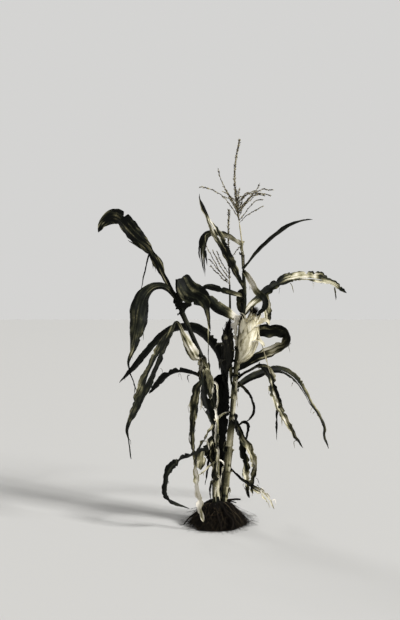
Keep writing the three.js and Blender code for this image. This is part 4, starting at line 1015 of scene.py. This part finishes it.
# Tassels: the plant's own flowers, a stiff spike on a bare stem with limp side branches. Each is
# set with pairs of papery spikelets, dry and grey brown, on a thin wiry axis.
TASSELS = {
    "main_tassel": dict(
        on=MAIN, stem=2.6, bare=70,
        legs=[[72, 97.5], [100, 98.5], [82, 94], [72, 85], [66, 78]],
        branches=[
            [94, 168, [[64, 60], [62, 43], [44, 22], [34, 6]]],
            [112, 196, [[54, 62], [46, 60], [60, 66], [30, 76]]],
            [124, 140, [[50, 56], [64, 52]]], [138, 220, [[34, 52], [46, 14]]],
            [98, 16, [[54, 66], [44, 50], [44, 34], [50, -4]]],
            [110, -28, [[50, 58], [44, 46], [54, 4], [26, -14]]],
            [76, -12, [[46, 46], [66, 30]]], [130, 34, [[48, 66], [34, 22], [60, 4]]],
            [122, -14, [[74, 50], [36, 40], [28, 66]]], [118, 84, [[60, 62], [56, 40]]],
            [132, 266, [[52, 58], [52, 34]]], [150, 125, [[30, 50], [26, 10]]],
            [158, 300, [[28, 48], [24, 0]]],
            [104, 66, [[56, 60], [48, 44], [40, 10]]], [106, 236, [[56, 58], [48, 42], [36, 16]]],
            [84, -24, [[60, 54], [44, 44], [22, 0]]], [112, 8, [[64, 50], [36, 40], [36, -6]]],
            [146, -8, [[40, 54], [40, 30], [30, -2]]],
        ]),
    "centre_tassel": dict(
        on=CENTRE, stem=2.4, bare=10, legs=[[84, 92], [110, 92], [94, 88]],
        branches=[
            [4, 186, [[70, 52], [104, 62]]], [20, 192, [[60, 56], [76, 64]]],
            [10, 200, [[66, 44], [56, 50]]], [38, 152, [[52, 54], [50, 62]]],
            [-2, 170, [[50, 42], [56, 46]]], [86, 14, [[36, 60], [34, 54]]],
            [60, 100, [[50, 58], [46, 50]]],
        ]),
}
SPIKELET_LENGTH = 9.5
SPIKELET_RADIUS = 1.55
SPIKELET_COLOURS = ["#221d15", "#373024", "#534b38", "#7a7156", "#aaa181"]
SPIKELET_SHAPE = [0.45, 1, 0.85, 0.2]
AXIS_RADIUS = 1.5
TWIG_RADIUS = 0.9
# Papery scales are dull, and no two have dried to the same tone.
spikelet_skin = tones_of("dry_spikelet", SPIKELET_COLOURS, 0.75, 1.4, 1.5, 0.2, shine=0.3)


def spikelets(line, start, gap, rows, rng):
    """Spikelets along a line, as slim closed buds that lie along it and point outward."""
    s = np.repeat(np.arange(start, line["distance"][-1] - 2, gap), rows)
    s = s + rng.uniform(-1.2, 1.2, len(s))
    at = sampled(line, np.clip(s, 0, line["distance"][-1]))
    angle = 2 * np.pi * np.tile(np.arange(rows), len(s) // rows) / rows + rng.uniform(-0.6, 0.6, len(s))
    out = at["side"] * np.cos(angle)[:, None] + at["upper"] * np.sin(angle)[:, None]
    tilt = rng.uniform(0.2, 0.75, (len(s), 1))
    aim = at["along"] * np.cos(tilt) + out * np.sin(tilt)
    aim[:, 2] -= rng.uniform(0, 0.35, len(s))
    size = rng.uniform(0.75, 1.2, (len(s), 1))
    root = at["place"] + out * 0.5
    reach = size * SPIKELET_LENGTH * np.array([0, 0.3, 0.65, 1.0])
    paths = root[:, None] + aim[:, None] * reach[..., None]
    points, faces = tubes(paths, size * SPIKELET_RADIUS * np.array(SPIKELET_SHAPE), 4)
    return points, faces, dealt(rng.integers(0, len(SPIKELET_COLOURS), len(s)), faces)


for name, tassel in TASSELS.items():
    rng = np.random.default_rng(len(name) * 613)
    stem = spine(STALKS[tassel["on"]]["line"]["place"][-1], 0, tassel["legs"])
    length = stem["distance"][-1]
    s = np.linspace(0, length, 90)
    radii = np.where(s < tassel["bare"], tassel["stem"], AXIS_RADIUS * (1 - 0.5 * s / length))
    points, faces = tubes(sampled(stem, s)["place"][None], radii[None], 8)
    parts = [(points, faces, [4, 4]), spikelets(stem, tassel["bare"] + 16, 4.6, 4, rng)]
    for up, heading, legs in tassel["branches"]:
        root = [np.interp(max(up, 0), stem["distance"], stem["place"][:, k]) for k in range(3)]
        twig = spine(root, heading, legs)
        s = np.linspace(0, twig["distance"][-1], 40)
        twig = sampled(twig, s)
        sway = np.clip(s / 30, 0, 1)[:, None] * 2.2
        twig["place"] = twig["place"] + sway * np.stack([wander(rng, s, wave) for wave in (30, 30, 22)], 1)
        twig["along"] = unit(np.gradient(twig["place"], axis=0))
        points, faces = tubes(twig["place"][None], (TWIG_RADIUS * (1 - 0.4 * s / s[-1]))[None], 5)
        parts += [(points, faces, [2, 2]), spikelets(twig, 12, 6.2, 2, rng)]
    add_piece(f"{name}_spikelets", parts, spikelet_skin, [name])

# Floor, light and camera: a plain pale floor, a large soft box to the right and the front, a much
# weaker one behind on the left, a pale studio sky that is brightest low down, and the camera as
# the picture was taken. Sizes and places here are in metres, and powers in watts.
FLOOR_SIZE = 16
SKY_BOTTOM, SKY_TOP = 0.66, 0.22
KEY_PLACE, KEY_POWER = (84, -52, 62), 170000
FILL_PLACE, FILL_POWER = (-50, 60, 44), 20000
SOFT_BOX_SIZE = 22
PLANT_MIDDLE = (0, 0, 0.75)
CAMERA_PLACE = (-0.069, -4.5, 1.25)
CAMERA_TILT = 5.25
LENS_PIXELS = 1181
PICTURE_HEIGHT = 620
SENSOR_SIZE = 36
half = FLOOR_SIZE / 2
floor_mesh = bpy.data.meshes.new("floor")
floor_corners = [(-half, -half, 0), (half, -half, 0), (half, half, 0), (-half, half, 0)]
floor_mesh.from_pydata(floor_corners, [], [(0, 1, 2, 3)])
floor = bpy.data.objects.new("floor", floor_mesh)
floor_mesh.materials.append(finish("pale_floor", "#d0cfcc", 0.95, 1.45, 6, 0.2, shine=0))
bpy.context.scene.collection.objects.link(floor)
floor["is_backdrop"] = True

world = bpy.data.worlds.new("studio_sky")
world.use_nodes = True
background = world.node_tree.nodes["Background"]
direction = add_node(world, "ShaderNodeTexCoord", {})
height = add_node(world, "ShaderNodeSeparateXYZ", {}, [("Vector", direction, "Generated")])
brightness = add_node(world, "ShaderNodeMapRange", {1: 0.18, 2: 0.5, 3: SKY_BOTTOM, 4: SKY_TOP},
                      [(0, height, "Z")])
background.inputs["Color"].default_value = (1, 0.995, 0.98, 1)
world.node_tree.links.new(brightness.outputs[0], background.inputs["Strength"])
bpy.context.scene.world = world


def soft_box(name, place, power):
    """A square soft box, turned to the middle of the plant."""
    data = bpy.data.lights.new(name, "AREA")
    data.size, data.energy = SOFT_BOX_SIZE, power
    light = bpy.data.objects.new(name, data)
    light.location = place
    light.rotation_mode = "QUATERNION"
    light.rotation_quaternion = (Vector(PLANT_MIDDLE) - Vector(place)).to_track_quat("-Z", "Y")
    bpy.context.scene.collection.objects.link(light)


soft_box("key_soft_box", KEY_PLACE, KEY_POWER)
soft_box("fill_soft_box", FILL_PLACE, FILL_POWER)

camera_data = bpy.data.cameras.new("camera")
camera_data.sensor_width = SENSOR_SIZE
camera_data.lens = SENSOR_SIZE * LENS_PIXELS / PICTURE_HEIGHT
camera_data.clip_end = 60
camera = bpy.data.objects.new("camera", camera_data)
camera.location = CAMERA_PLACE
camera.rotation_euler = (math.radians(90 - CAMERA_TILT), 0, 0)
bpy.context.scene.collection.objects.link(camera)
bpy.context.scene.camera = camera
bpy.context.scene.view_settings.view_transform = "Standard"

low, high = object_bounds()
